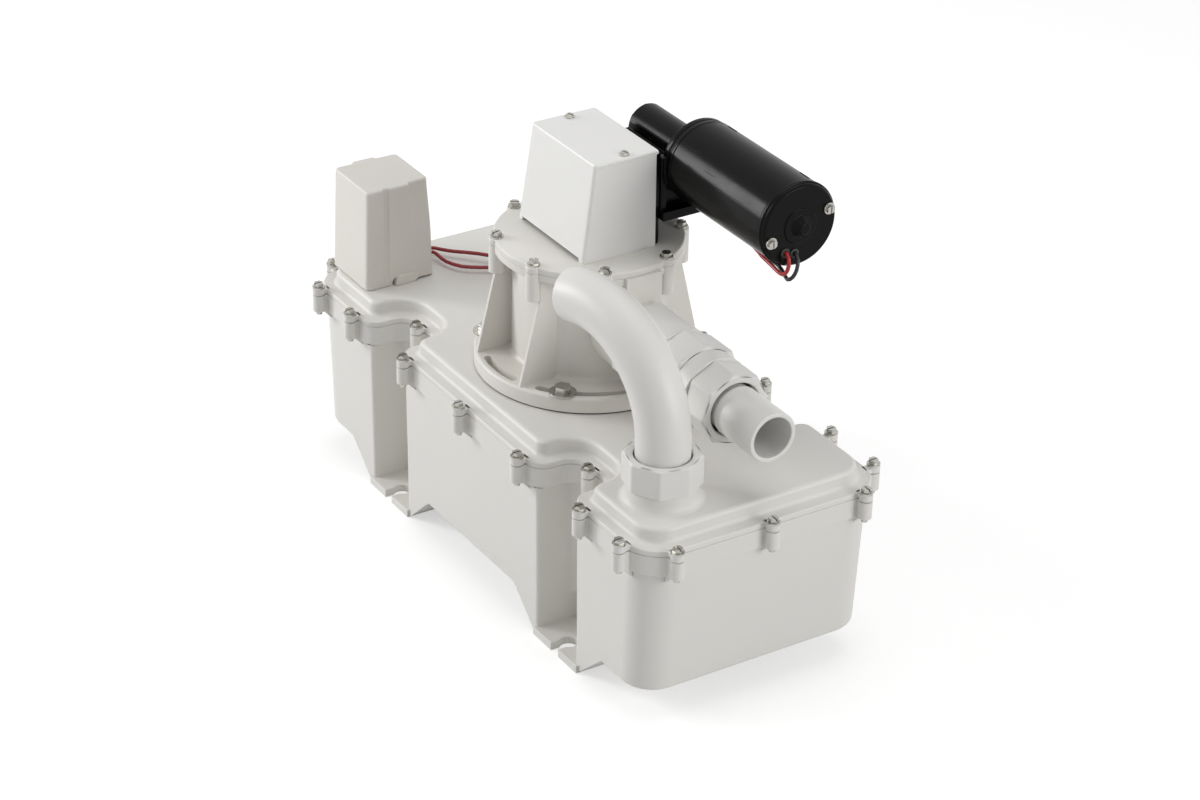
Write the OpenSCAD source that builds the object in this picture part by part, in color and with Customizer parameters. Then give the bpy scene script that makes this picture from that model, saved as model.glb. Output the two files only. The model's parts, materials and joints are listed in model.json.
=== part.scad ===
/* [Tank] */
// Length of the tank rim
tank_l = 494; // [460:1:540]
// Width of the tank rim
tank_w = 205; // [195:1:230]
// Height of the tank rim above the floor
tank_h = 142; // [130:1:180]
// Height of the thick rim band
rim_h = 16; // [12:1:20]
// Wall thickness of the tank
tank_wall = 4; // [3:0.5:5]
// Plan radius of the four outer corners
corner_r = 30; // [24:1:36]
// How far the wall stands inside the rim just under it
rim_step = 3.2; // [2:0.1:4]
// Extra inset of the long walls at the floor
draft_long = 1.3; // [0.5:0.1:3]
// Extra inset of the end walls at the floor
draft_end = 5.3; // [2:0.1:7]

/* [Recesses and feet] */
// Distance of each recess from the middle
recess_x = 125; // [115:1:135]
// Width of each recess at the rim
recess_w = 46; // [42:1:50]
// Distance of the recess back wall from the middle
recess_y = 68; // [64:1:72]
// Plan radius where the rim turns in and out of a recess
bend_r = 13.5; // [10:0.5:14]
// Height of the tank floor above the ground
foot_h = 25; // [16:1:32]
// Width of a foot on the ground
foot_w = 61; // [58:1:70]
// Width of a foot where it meets the tank
foot_top_w = 116; // [100:1:120]
// Reach of a foot from the tank side toward the middle
foot_depth = 38; // [36:1:50]
// Thickness of the foot plate in the recess
foot_plate = 6.5; // [5:0.5:9]
// Width of the open keyhole slot
key_w = 9.5; // [7:0.5:11]
// Radius of the keyhole head
key_r = 7; // [6:0.5:8]
// Distance of the keyhole head from the plate edge
key_in = 12.5; // [10:0.5:16]

/* [Rim screws] */
// Radius of a screw boss
boss_r = 5; // [4.6:0.1:5.5]
// Distance of a boss centre outside the rim
boss_out = 5.6; // [4.5:0.1:6]
// Depth of a boss below the tank rim
boss_h = 14; // [10:1:15]
// Radius of the cover screws
screw_r = 2.4; // [2:0.1:2.8]
// Radius of the washer face of a screw head
head_r = 5; // [4.5:0.1:6]
// Height of a screw head
head_h = 4.2; // [2.4:0.1:4.6]
// Rise of the lid bosses above the lid flange
boss_up = 1.5; // [0.5:0.1:2.5]
// Distances of the screws before and behind a recess from its middle
beside_recess = [40.5, 44.5];
// Distance of the outermost side screws from the tank end
corner_screw_in = 25.4; // [24:0.1:30]
// Distance of the outer end screws from the tank side
end_screw_in = 22.8; // [20:0.1:28]

/* [Lid] */
// Thickness of the tank gasket
gasket_t = 0.8; // [0.5:0.1:2]
// Thickness of the lid flange
flange_t = 3.8; // [3:0.1:5]
// Inset of the raised plateau along the sides
plateau_in = 9.5; // [9:0.5:11]
// Inset of the raised plateau at the ends
plateau_end = 11; // [10:0.5:14]
// Height of the plateau above the flange
plateau_h = 11.4; // [10:0.1:16]
// Wall thickness of the lid
lid_wall = 4; // [3:0.5:5]

/* [Inlet] */
// Distance of the inlet spigot from the tank end
inlet_end_in = 51; // [48:1:60]
// Distance of the inlet spigot from the tank side
inlet_side_in = 45.5; // [43:0.5:52]
// Radius of the inlet pipe
pipe_r = 19.8; // [18:0.1:21]
// Wall thickness of the inlet pipe
pipe_wall = 3.4; // [2.5:0.1:4]
// Radius of the inlet spigot
spigot_r = 26; // [25:0.5:28]
// Height of the smooth part of the spigot
spigot_h = 12; // [8:1:16]
// Corner radius of the inlet nut
inlet_nut_r = 29; // [28.5:0.5:31]
// Height of the inlet nut
inlet_nut_h = 23; // [20:1:26]
// Straight rise of the pipe above the nut
pipe_rise = 8; // [4:1:20]
// Centre line radius of the pipe bend
pipe_bend_r = 77.7; // [70:0.1:85]
// Angle of the pipe bend
pipe_sweep = 105; // [90:1:110]
// Compass heading of the bend
pipe_heading = 187.6; // [180:0.1:192]
// Straight length after the bend
pipe_tail = 2; // [1:1:20]

/* [Pump] */
// Position of the pump axis along the tank
pump_x = 0; // [-10:1:10]
// Position of the pump axis across the tank
pump_y = 3; // [0:1:6]
// Thickness of the seal under the pump
seal_t = 1; // [0.6:0.1:2]
// Radius of the pump base ring
base_r = 85; // [84:1:88]
// Thickness of the pump base ring
base_t = 12; // [11:1:14]
// Outer radius of the pump body
body_r = 57; // [56:0.5:58]
// Wall thickness of the pump body
body_wall = 4; // [3:0.5:5]
// Height of the pump from base to the top of its flange
pump_h = 101; // [96:1:110]
// Radius of the pump flange and of the top plate
plate_r = 71; // [70:0.5:73]
// Thickness of the pump flange
rim_t = 6; // [5:0.5:8]
// Thickness of the top plate
plate_t = 5; // [4:0.5:6]
// Radius of the circle of top plate screws
top_screw_circle = 68.8; // [67:0.1:70]
// Radius of the bosses under the top plate screws
top_boss_r = 6; // [5.5:0.1:6.5]
// Length of those bosses
top_boss_h = 23; // [16:1:28]
// Thickness of the radial ribs
rib_t = 3; // [2:0.5:4]
// Radius of the circle of base bolts
bolt_circle = 78; // [76:0.5:79]
// Radius of the base bolts
bolt_r = 3; // [2.5:0.1:3.5]
// Radius of the large washers
washer_r = 10.2; // [9:0.1:11]
// Thickness of the large washers
washer_t = 1.5; // [1:0.1:2]

/* [Bellows] */
// Outer radius of the bellows folds
bellows_r = 44; // [42:0.5:46]
// Depth of a bellows fold
fold_depth = 9; // [6:0.5:11]
// Number of bellows folds
folds = 5; // [3:1:6]
// Thickness of the bellows rim and of its end flange
bellows_t = 2; // [1.5:0.1:3]
// Height of the bellows plate above the pump floor
lift_h = 33; // [32:1:36]
// Thickness of the bellows plate
lift_plate_t = 4; // [3:0.5:6]
// Throw of the crank, half the stroke
throw = 7; // [5:0.5:7]

/* [Dip tube and valves] */
// Outer radius of the dip tube
dip_r = 17; // [15:0.5:18]
// Wall thickness of the dip tube
dip_wall = 3; // [2:0.5:4]
// Clearance of the dip tube end above the tank floor
dip_gap = 16; // [8:1:30]
// Body radius of the duckbill valves
bill_r = 14; // [11:0.5:15]
// Length of the duckbill valves
bill_l = 20; // [16:1:22]

/* [Discharge line] */
// Height of the discharge axis above the pump base
outlet_up = 51; // [48:0.5:56]
// Radius of the pump outlet collar
collar_r = 29; // [27:0.5:30]
// Distance of the collar end from the pump axis
collar_end = 79; // [78:1:84]
// Corner radius of the octagonal union and its nut
union_r = 32; // [31:0.5:34]
// Length of the octagonal union
union_l = 48; // [46:1:60]
// Length of the union nut
union_nut_l = 29; // [24:1:32]
// Radius of the round ring on the tail piece
tail_r = 28.5; // [27:0.5:30]
// Length of that ring
tail_l = 15; // [12:1:20]
// Corner radius of the hose nut
hose_nut_r = 28.4; // [27.5:0.1:30]
// Length of the hose nut
hose_nut_l = 25; // [22:1:30]
// Radius of the hose nipple
nipple_r = 19.05; // [17:0.05:20]
// Bore radius of the hose nipple
nipple_bore = 15.5; // [13:0.5:16.5]
// Length of the nipple outside the hose nut
nipple_out = 46; // [35:1:60]

/* [Drive cover and bracket] */
// Width of the drive cover at its foot
cover_w = 91; // [88:1:96]
// Width of the drive cover at its top
cover_top_w = 88; // [80:1:92]
// Height of the drive cover
cover_h = 75.5; // [74:0.5:84]
// Reach of the drive cover in front of the bracket at its foot
cover_d = 62.5; // [58:0.5:68]
// Reach of the drive cover in front of the bracket at its top
cover_top_d = 52.5; // [46:0.5:56]
// Wall thickness of the drive cover
cover_wall = 2.5; // [2:0.5:3]
// Sideways offset of the cover from the pump axis
cover_shift = -1.5; // [-3:0.5:1]
// Height of the step along the cover's front edge
cover_notch = 3; // [1:0.5:4]
// Distance of the bracket face behind the pump axis
bracket_y = 29.5; // [29:0.5:31]
// Thickness of the bracket
bracket_t = 4; // [3:0.5:5]
// Height of the crank shaft above the top plate
crank_up = 40; // [38:1:42]
// Radius of the crank shaft
shaft_r = 6; // [5:0.5:7]
// Radius of the crank pin
pin_r = 4; // [3:0.5:4]

/* [Gear case] */
// Depth of the gear case behind the bracket
case_d = 51.5; // [50:0.5:56]
// Distance of the worm axis behind the bracket
worm_in = 33.5; // [32:0.5:36]
// Wall thickness of the gear case
case_wall = 4; // [3:0.5:5]
// Height of the ledge along the case bottom
ledge_t = 7; // [5:0.5:9]
// Outer radius of the worm tube
tube_r = 16; // [15:0.5:18]
// Length of the worm tube beyond the pump axis
tube_out = 30; // [28:0.5:36]
// Face width of the worm wheel
wheel_w = 8; // [6:1:10]

/* [Motor] */
// Distance of the motor face from the pump axis
motor_x = 44; // [40:1:48]
// Overall length of the motor
motor_l = 125; // [115:1:140]
// Radius of the motor can
motor_r = 31.5; // [30:0.5:34]
// Wall thickness of the motor can
can_wall = 2; // [1.5:0.5:3]
// Thickness of the front bell and of the end cap
bell_t = 6; // [5:0.5:8]
// Radius of the motor shaft
motor_shaft_r = 4; // [3.5:0.5:4]
// Radius of the motor bolts' circle
motor_bolt_circle = 25.4; // [24:0.1:25.6]
// Turn of the motor bolts
motor_bolt_turn = 18; // [5:1:20]
// Length of the winding between its end turns
winding_l = 70; // [60:1:70]
// Length of the two magnets
magnet_l = 78; // [60:1:78]

/* [Switch] */
// Distance of the switch from the tank end
switch_end_in = 40; // [40:1:46]
// Distance of the switch from the tank side
switch_side_in = 44.5; // [43:0.5:50]
// Length of the switch cover at its foot
switch_l = 57; // [55:1:60]
// Width of the switch cover at its foot
switch_w = 60; // [57:1:62]
// Length of the switch cover at its top
switch_top_l = 55.5; // [50:0.5:57]
// Width of the switch cover at its top
switch_top_w = 55; // [50:0.5:57]
// Height of the switch cover
switch_h = 84.5; // [78:0.5:90]
// Wall thickness of the switch cover
switch_wall = 2.5; // [2:0.5:3]

/* [Wires] */
// Radius of the switch wires and motor leads
wire_r = 1.5; // [1.2:0.1:1.8]

/* [Hidden] */
$fn = 64;
white = "#dcd9d2";
black = "#141414";
steel = "#9a9890";
rubber = "#242424";
// Radial clearance of parts that slide into each other
fit = 0.1;
// Radial clearance of running shafts
run = 0.05;
// Points along each quarter bend of an outline
arc_steps = 5;

lid_z = tank_h + gasket_t;
flange_z = lid_z + flange_t;
deck_z = flange_z + plateau_h;
base_z = deck_z + seal_t;
rim_z = base_z + pump_h;
plate_z = rim_z + plate_t;
pump_floor = base_z + 8;
lift_z = pump_floor + lift_h;
body_in = body_r - body_wall;
outlet_z = base_z + outlet_up;
foot_x = recess_x + 1;
side_screws = [recess_x - beside_recess[0], recess_x + beside_recess[1], tank_l/2 - corner_screw_in];
end_screw_y = tank_w/2 - end_screw_in;
inlet_x = tank_l/2 - inlet_end_in;
inlet_y = inlet_side_in - tank_w/2;
switch_x = switch_end_in - tank_l/2;
switch_y = switch_side_in - tank_w/2;
key_y = tank_w/2 - 2.5 - key_in;
crank_z = plate_z + crank_up;
plate_face = pump_y + bracket_y;
case_face = plate_face + bracket_t;
// Worm gear of module 1 with one start, so the wheel turns once for as many worm turns as it has teeth
teeth = 30;
worm_pitch = 3.1416;
worm_r = 5.5;
wheel_r = teeth*worm_pitch/PI/2;
worm_y = plate_face + bracket_t + worm_in;
worm_z = crank_z + wheel_r + worm_r;
addendum = 1;
motor_end = pump_x + motor_x + motor_l;
case_z = crank_z - wheel_r - addendum - case_wall - 0.5;
cavity_r = wheel_r + addendum + 0.5;
eye_r = 2*throw + pin_r + 0.5;
eye_wall = 4;
rod_t = 9;

// Points along an arc
function arc(cx, cy, r, a0, a1) =
    [for (i = [0:arc_steps]) let (a = a0 + (a1 - a0)*i/arc_steps) [cx + r*cos(a), cy + r*sin(a)]];
// Rectangle between two corners
module rect(x0, x1, y0, y1) translate([x0, y0]) square([x1 - x0, y1 - y0]);
// Space of one recess, in the corner where x and y are positive
module recess_plan(d) {
    near = recess_x - recess_w/2 - d;
    far = recess_x + recess_w/2 + d;
    back = recess_y - d;
    front = tank_w/2 - d;
    rv = max(bend_r - d, 8);
    rc = min(bend_r + d, front - back - rv - 0.5);
    rect(near + rc, far - rc, back, front + 1);
    rect(near, far, back + rc, front + 1);
    for (x = [near + rc, far - rc]) translate([x, back + rc]) circle(r = rc);
    difference() {
        rect(near - rv, far + rv, front - rv, front + 1);
        for (x = [near - rv, far + rv]) translate([x, front - rv]) circle(r = rv);
    }
}
// Plan of the tank rim, moved inward by d along the sides and dx at the ends
module plan(d, dx) difference() {
    r = max(corner_r - d, 4);
    x = tank_l/2 - dx;
    y = tank_w/2 - d;
    union() {
        rect(-x + r, x - r, -y, y);
        rect(-x, x, -y + r, y - r);
        for (sx = [-1, 1], sy = [-1, 1]) translate([sx*(x - r), sy*(y - r)]) circle(r = r);
    }
    for (sx = [0, 1], sy = [0, 1]) mirror([sx, 0]) mirror([0, sy]) recess_plan(d);
}
// Tapered block with the tank's long and short sides, from z0 up to z1
module draft_block(d0, dx0, z0, d1, dx1, z1) loft([[tank_box(d0, dx0), z0], [tank_box(d1, dx1), z1]]);
function tank_box(d, dx) =
    box_outline(-tank_l/2 + dx, tank_l/2 - dx, -tank_w/2 + d, tank_w/2 - d, corner_r - d);
// Rounded rectangle between two corners
function box_outline(x0, x1, y0, y1, r) = concat(arc(x1 - r, y1 - r, r, 0, 90), arc(x0 + r, y1 - r, r, 90, 180),
    arc(x0 + r, y0 + r, r, 180, 270), arc(x1 - r, y0 + r, r, 270, 360));
// Solid through outlines of equal length, each with its height
module loft(layers) {
    n = len(layers[0][0]);
    k = len(layers);
    points = [for (l = layers) for (p = l[0]) [p[0], p[1], l[1]]];
    sides = [for (j = [0:k - 2]) for (i = [0:n - 1]) let (a = j*n + i, b = j*n + (i + 1)%n)
        [a, a + n, b + n, b]];
    polyhedron(points, concat([[for (i = [0:n - 1]) i]], sides, [[for (i = [n - 1:-1:0]) (k - 1)*n + i]]));
}
// Round bar along X
module bar_x(r, x0, x1, y, z, sides = 64, turn = 0)
    translate([x0, y, z]) rotate([turn, 0, 0]) rotate([0, 90, 0]) cylinder(r = r, h = x1 - x0, $fn = sides);
// Round bar along Y
module bar_y(r, y0, y1, x, z) translate([x, y1, z]) rotate([90, 0, 0]) cylinder(r = r, h = y1 - y0);
// Round bar along Z
module bar_z(r, z0, z1, x, y, sides = 64, turn = 0)
    translate([x, y, z0]) rotate([0, 0, turn]) cylinder(r = r, h = z1 - z0, $fn = sides);
// Box between two corners
module block(a, b) translate(a) cube(b - a);
// Slotted washer head screw standing on z = 0
module screw(length, r = screw_r, head = head_r, h = head_h) {
    difference() {
        union() {
            cylinder(r = head, h = 0.3*h);
            cylinder(r = 0.78*head, h = h, $fn = 6);
        }
        translate([-head, -0.6, 0.65*h]) cube([2*head, 1.2, h]);
    }
    translate([0, 0, -length]) cylinder(r = r, h = length);
}
// Copies at every rim screw, turned so that +X points at the tank
module at_rim_screws() {
    side_y = tank_w/2 + boss_out;
    spots = concat([[0, side_y, -90]], [for (x = side_screws) [x, side_y, -90]],
        [[recess_x + 0.7, recess_y + boss_out, -90], [tank_l/2 + boss_out - 0.7, end_screw_y, 180]]);
    for (s = spots, side = [-1, 1], end = s[0] == 0 ? [1] : [-1, 1])
        mirror([end < 0 ? 1 : 0, 0, 0]) mirror([0, side < 0 ? 1 : 0, 0])
            translate([s[0], s[1], 0]) rotate(s[2]) children();
    for (end = [0, 1])
        mirror([end, 0, 0]) translate([tank_l/2 + boss_out - 0.7, 0, 0]) rotate(180) children();
}
// Unit vector
function unit(v) = v/norm(v);
// Smooth curve through hand-chosen points
function spline_point(p, i, t) = let (
        a = p[max(i - 1, 0)], b = p[i], c = p[i + 1], d = p[min(i + 2, len(p) - 1)])
    0.5*(2*b + (c - a)*t + (2*a - 5*b + 4*c - d)*t*t + (3*b - a - 3*c + d)*t*t*t);
function spline(p, steps) = concat(
    [for (i = [0:len(p) - 2]) for (s = [0:steps - 1]) spline_point(p, i, s/steps)], [p[len(p) - 1]]);
// Direction that no wire runs along
wire_side = unit([3, 5, -8]);
function wire_ring(c, t, r) = let (a = unit(cross(t, wire_side)), b = cross(t, a))
    [for (k = [0:7]) c + r*(a*cos(45*k) + b*sin(45*k))];
// Round wire along a path
module sweep(path, r) {
    m = len(path);
    points = [for (i = [0:m - 1])
        each wire_ring(path[i], unit(path[min(i + 1, m - 1)] - path[max(i - 1, 0)]), r)];
    faces = [for (i = [0:m - 2]) for (k = [0:7]) let (a = i*8 + k, b = i*8 + (k + 1)%8)
        each [[a, a + 8, b + 8], [a, b + 8, b]]];
    polyhedron(points, concat([[for (k = [0:7]) k]], [[for (k = [7:-1:0]) (m - 1)*8 + k]], faces));
}

// Tank

module foot() {
    front = tank_w/2 - rim_step - draft_long;
    plate_front = tank_w/2 - 2.5;
    back = tank_w/2 - rim_step - draft_long - foot_depth;
    gap = recess_w + 2*(rim_step + draft_long);
    difference() {
        translate([foot_x, front, 0]) rotate([90, 0, 0]) linear_extrude(front - back)
            polygon([[-foot_w/2, 0], [foot_w/2, 0], [foot_top_w/2, foot_h + 1], [-foot_top_w/2, foot_h + 1]]);
        block([recess_x - gap/2, recess_y - rim_step - draft_long, foot_plate],
            [recess_x + gap/2, tank_w, foot_h + 2]);
        foot_slot();
    }
    difference() {
        block([foot_x - foot_w/2, recess_y - 10, 0], [foot_x + foot_w/2, plate_front, foot_plate]);
        foot_slot();
    }
}
module foot_slot() {
    bar_z(key_r, -1, foot_plate + 1, foot_x, key_y);
    block([foot_x - key_w/2, key_y, -1], [foot_x + key_w/2, tank_w, foot_plate + 1]);
}
module rim_boss() {
    z0 = tank_h - boss_h;
    bar_z(boss_r, z0, tank_h, 0, 0);
    reach = boss_out + rim_step + 0.6;
    web = 1.4*boss_r;
    block([0, -web/2, z0], [reach, web/2, tank_h]);
    translate([0, web/2, 0]) rotate([90, 0, 0]) linear_extrude(web)
        polygon([[1, z0 + 1], [reach, z0 + 1], [reach, z0 - 8]]);
}
module tank_body() color(white) difference() {
    low = rim_step + draft_long;
    low_end = rim_step + draft_end;
    band_z = tank_h - rim_h;
    union() {
        intersection() {
            translate([0, 0, foot_h]) linear_extrude(band_z - foot_h + 1) plan(rim_step, rim_step);
            draft_block(low, low_end, foot_h, rim_step, rim_step, band_z + 1);
        }
        translate([0, 0, band_z]) linear_extrude(rim_h) plan(0, 0);
        at_rim_screws() rim_boss();
        for (sx = [0, 1], sy = [0, 1]) mirror([sx, 0, 0]) mirror([0, sy, 0]) foot();
    }
    inner = rim_step + tank_wall;
    floor_z = foot_h + tank_wall;
    intersection() {
        translate([0, 0, floor_z]) linear_extrude(rim_h + band_z - floor_z + 1) plan(inner, inner);
        draft_block(low + tank_wall, low_end + tank_wall, floor_z, inner - 0.5, inner - 0.5, tank_h + 1);
    }
    at_rim_screws() bar_z(screw_r + fit, tank_h - boss_h - 1, tank_h + 1, 0, 0);
}
// Distance of the gasket's edge inside the rim
gasket_in = 1.6;
module tank_gasket() color(rubber) translate([0, 0, tank_h]) linear_extrude(gasket_t) difference() {
    plan(gasket_in, gasket_in);
    plan(rim_step + tank_wall, rim_step + tank_wall);
}

// Lid

module lid_boss() {
    bar_z(boss_r, lid_z, flange_z + boss_up, 0, 0);
    block([0, -0.7*boss_r, lid_z], [boss_out + 3, 0.7*boss_r, flange_z]);
}
module spigot() {
    flare = 8;
    translate([inlet_x, inlet_y, deck_z - 2]) rotate_extrude() polygon(concat(
        [[0, 0], [spigot_r + flare*0.6, 0]],
        [for (a = [0:15:90]) [spigot_r + flare*0.6*(1 - sin(a)), 2 + flare*(1 - cos(a))]],
        [[spigot_r, spigot_h + 2], [0, spigot_h + 2]]));
    bar_z(pipe_r + 4.6, deck_z, deck_z + spigot_h + 16, inlet_x, inlet_y);
}
module tank_lid() color(white) difference() {
    hollow = plateau_in + lid_wall;
    hollow_end = plateau_end + lid_wall;
    union() {
        translate([0, 0, lid_z]) linear_extrude(flange_t) plan(0, 0);
        translate([0, 0, flange_z - 0.5]) linear_extrude(plateau_h + 0.5) plan(plateau_in, plateau_end);
        at_rim_screws() lid_boss();
        spigot();
    }
    difference() {
        translate([0, 0, lid_z - 1]) linear_extrude(deck_z - lid_wall - lid_z + 1) plan(hollow, hollow_end);
        at_base_bolts() bar_z(bolt_r + 5, lid_z, deck_z, 0, 0);
    }
    at_rim_screws() bar_z(screw_r + fit, lid_z - 1, flange_z + boss_up + 1, 0, 0);
    at_base_bolts() bar_z(bolt_r + fit, lid_z - 2, deck_z + 1, 0, 0);
    bar_z(dip_r + 2, lid_z, deck_z + 1, pump_x, pump_y);
    bar_z(pipe_r - pipe_wall, lid_z, deck_z + 1, inlet_x, inlet_y);
    bar_z(pipe_r + fit, deck_z, deck_z + 60, inlet_x, inlet_y);
    bar_z(stem_r + fit, lid_z, deck_z + 1, switch_x, switch_y);
}
module lid_screws() color(steel)
    at_rim_screws() translate([0, 0, flange_z + boss_up]) screw(flange_z + boss_up - tank_h + boss_h + 3);

// Inlet

module inlet_nut() color(white) {
    z0 = deck_z + spigot_h;
    difference() {
        bar_z(inlet_nut_r, z0, z0 + inlet_nut_h, inlet_x, inlet_y, 8, 8);
        bar_z(pipe_r + 4.6 + fit, z0 - 1, z0 + inlet_nut_h - 4, inlet_x, inlet_y);
        bar_z(pipe_r + 1.1, z0, z0 + inlet_nut_h + 1, inlet_x, inlet_y);
    }
}
module inlet_seal() color(rubber) {
    z0 = deck_z + spigot_h;
    difference() {
        bar_z(pipe_r + 4.6, z0 + 16, z0 + inlet_nut_h - 4, inlet_x, inlet_y);
        bar_z(pipe_r + run, z0 + 15, z0 + inlet_nut_h, inlet_x, inlet_y);
    }
}
// Overlap of the pipe's straight ends over its bend, in length and in skin
lap_l = 0.5;
lap_t = 0.03;
module pipe_ring(skin) difference() {
    circle(r = pipe_r + skin);
    circle(r = pipe_r - pipe_wall - skin);
}
module inlet_pipe() color(white) {
    bend_z = deck_z + spigot_h + inlet_nut_h + pipe_rise;
    translate([inlet_x, inlet_y, deck_z]) linear_extrude(bend_z - deck_z + lap_l) pipe_ring(lap_t);
    translate([inlet_x, inlet_y, bend_z]) rotate([0, 0, pipe_heading]) translate([pipe_bend_r, 0, 0])
        rotate([90, 0, 0]) rotate([0, 0, 180 - pipe_sweep]) {
            rotate_extrude(angle = pipe_sweep) translate([pipe_bend_r, 0, 0]) pipe_ring(0);
            translate([pipe_bend_r, lap_l, 0]) rotate([90, 0, 0]) linear_extrude(pipe_tail + lap_l)
                pipe_ring(lap_t);
        }
}

// Vacuum switch

stem_r = 5;
dome_r = 20;
dome_h = 12;
// Middle of the cover's top, from the middle of the switch
top_shift = [1.8, -1];
function switch_top(d, z) = let (l = switch_top_l/2 - d, w = switch_top_w/2 - d,
        x = switch_x + top_shift[0], y = switch_y + top_shift[1])
    [box_outline(x - l, x + l, y - w, y + w, 3), z];
module switch_cover_layers(d, z0, z1, drop) {
    l = switch_l/2 - d;
    w = switch_w/2 - d;
    loft([[box_outline(switch_x - l, switch_x + l, switch_y - w, switch_y + w, 3), z0],
        switch_top(d, z1 - drop), switch_top(d + drop*0.3, z1 - drop*0.3), switch_top(d + drop, z1)]);
}
module switch_cover() color("#d9d6cd") difference() {
    z0 = deck_z + fit;
    top = deck_z + switch_h;
    side = switch_x + switch_l/2;
    union() {
        switch_cover_layers(0, z0, top, 1.6);
        block([side - 4, switch_y - 5, z0], [side + 2.5, switch_y + 15, deck_z + 8]);
        block([switch_x + top_shift[0] - switch_top_l/2 - 3.5, switch_y - 12, top - 14],
            [switch_x - switch_top_l/2 + 6, switch_y + 9, top - 0.4]);
    }
    switch_cover_layers(switch_wall, deck_z, top - switch_wall, 0.6);
    block([side - 1.4, switch_y - 12, deck_z + 10], [side + 3, switch_y - 10, top + 1]);
    for (x = [-6, 3])
        block([switch_x + x - wire_r - 1, switch_y + 20, deck_z - 1],
            [switch_x + x + wire_r + 1, switch_y + 40, deck_z + 8]);
}
module switch_stem() color("#b9a46a") difference() {
    union() {
        bar_z(stem_r, deck_z - lid_wall - 12, deck_z + 3, switch_x, switch_y);
        bar_z(8, deck_z - lid_wall - 5, deck_z - lid_wall, switch_x, switch_y, 6);
    }
    bar_z(2, deck_z - lid_wall - 13, deck_z + 4, switch_x, switch_y);
}
module switch_base() color("#2b2b2d") difference() {
    top = deck_z + dome_h + 24;
    union() {
        bar_z(dome_r, deck_z, deck_z + dome_h, switch_x, switch_y);
        block([switch_x - 14, switch_y - 14, deck_z + dome_h - 1], [switch_x + 14, switch_y + 14, top]);
    }
    bar_z(stem_r + fit, deck_z - 1, deck_z + 3 + fit, switch_x, switch_y);
    bar_z(dome_r - 4, deck_z + 3, deck_z + dome_h - 3, switch_x, switch_y);
    bar_z(7, deck_z + dome_h - 4, deck_z + dome_h + 16, switch_x, switch_y);
}
module switch_plunger() color("#c8b04a") {
    z0 = deck_z + 3.3;
    bar_z(dome_r - 5, z0, z0 + 1.5, switch_x, switch_y);
    bar_z(3, z0 + 1.5, deck_z + dome_h + 12, switch_x, switch_y);
}
module switch_spring() color(steel) {
    z0 = deck_z + 5.7;
    z1 = deck_z + dome_h + 15.1;
    turns = 6;
    steps = 10;
    sweep([for (i = [0:turns*steps]) [switch_x + 5*cos(360*i/steps), switch_y + 5*sin(360*i/steps),
        z0 + (z1 - z0)*i/turns/steps]], 0.6);
}
module switch_terminals() color("#c2ad6a") {
    z0 = deck_z + dome_h + 24;
    for (x = [-6, 3])
        block([switch_x + x - 2.5, switch_y - 3, z0], [switch_x + x + 2.5, switch_y + 3, z0 + 5]);
}

// Pump

module at_base_bolts() for (k = [0:3])
    translate([pump_x, pump_y, 0]) rotate(45 + 90*k) translate([bolt_circle, 0, 0]) children();
module at_top_screws() for (k = [0:7])
    translate([pump_x, pump_y, 0]) rotate(22.5 + 45*k) translate([top_screw_circle, 0, 0]) children();
module arc_slot(r0, r1, half, z0, z1) translate([0, 0, z0]) linear_extrude(z1 - z0) {
    far = r1 + 5;
    intersection() {
        difference() {
            circle(r = r1);
            circle(r = r0);
        }
        polygon([[0, 0], [far, -far*tan(half)], [far, far*tan(half)]]);
    }
    for (a = [-half, half]) rotate(a) translate([(r0 + r1)/2, 0]) circle(r = (r1 - r0)/2 - 0.1, $fn = 32);
}
module pump_shell() {
    top = base_z + base_t;
    edge = 3;
    throat = 9;
    rotate_extrude() polygon(concat([[0, base_z], [base_r, base_z]],
        [for (a = [0:22.5:90]) [base_r - edge + edge*cos(a), top - edge + edge*sin(a)]],
        [[body_r + 2, top], [body_r, top + 2], [body_r, rim_z - rim_t - throat]],
        [for (a = [0:15:90]) [body_r + throat*(1 - cos(a)), rim_z - rim_t - throat + throat*sin(a)]],
        [[plate_r, rim_z - rim_t], [plate_r, rim_z], [0, rim_z]]));
}
module pump_rib() {
    top = base_z + base_t;
    under = rim_z - top_boss_h;
    translate([0, rib_t/2, 0]) rotate([90, 0, 0]) linear_extrude(rib_t)
        polygon([[body_in + 1, top - 1], [top_screw_circle + 11, top - 1], [top_screw_circle + 11, top],
            [top_screw_circle + top_boss_r - 0.5, under + 1], [body_in + 1, under + 1]]);
}
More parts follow.
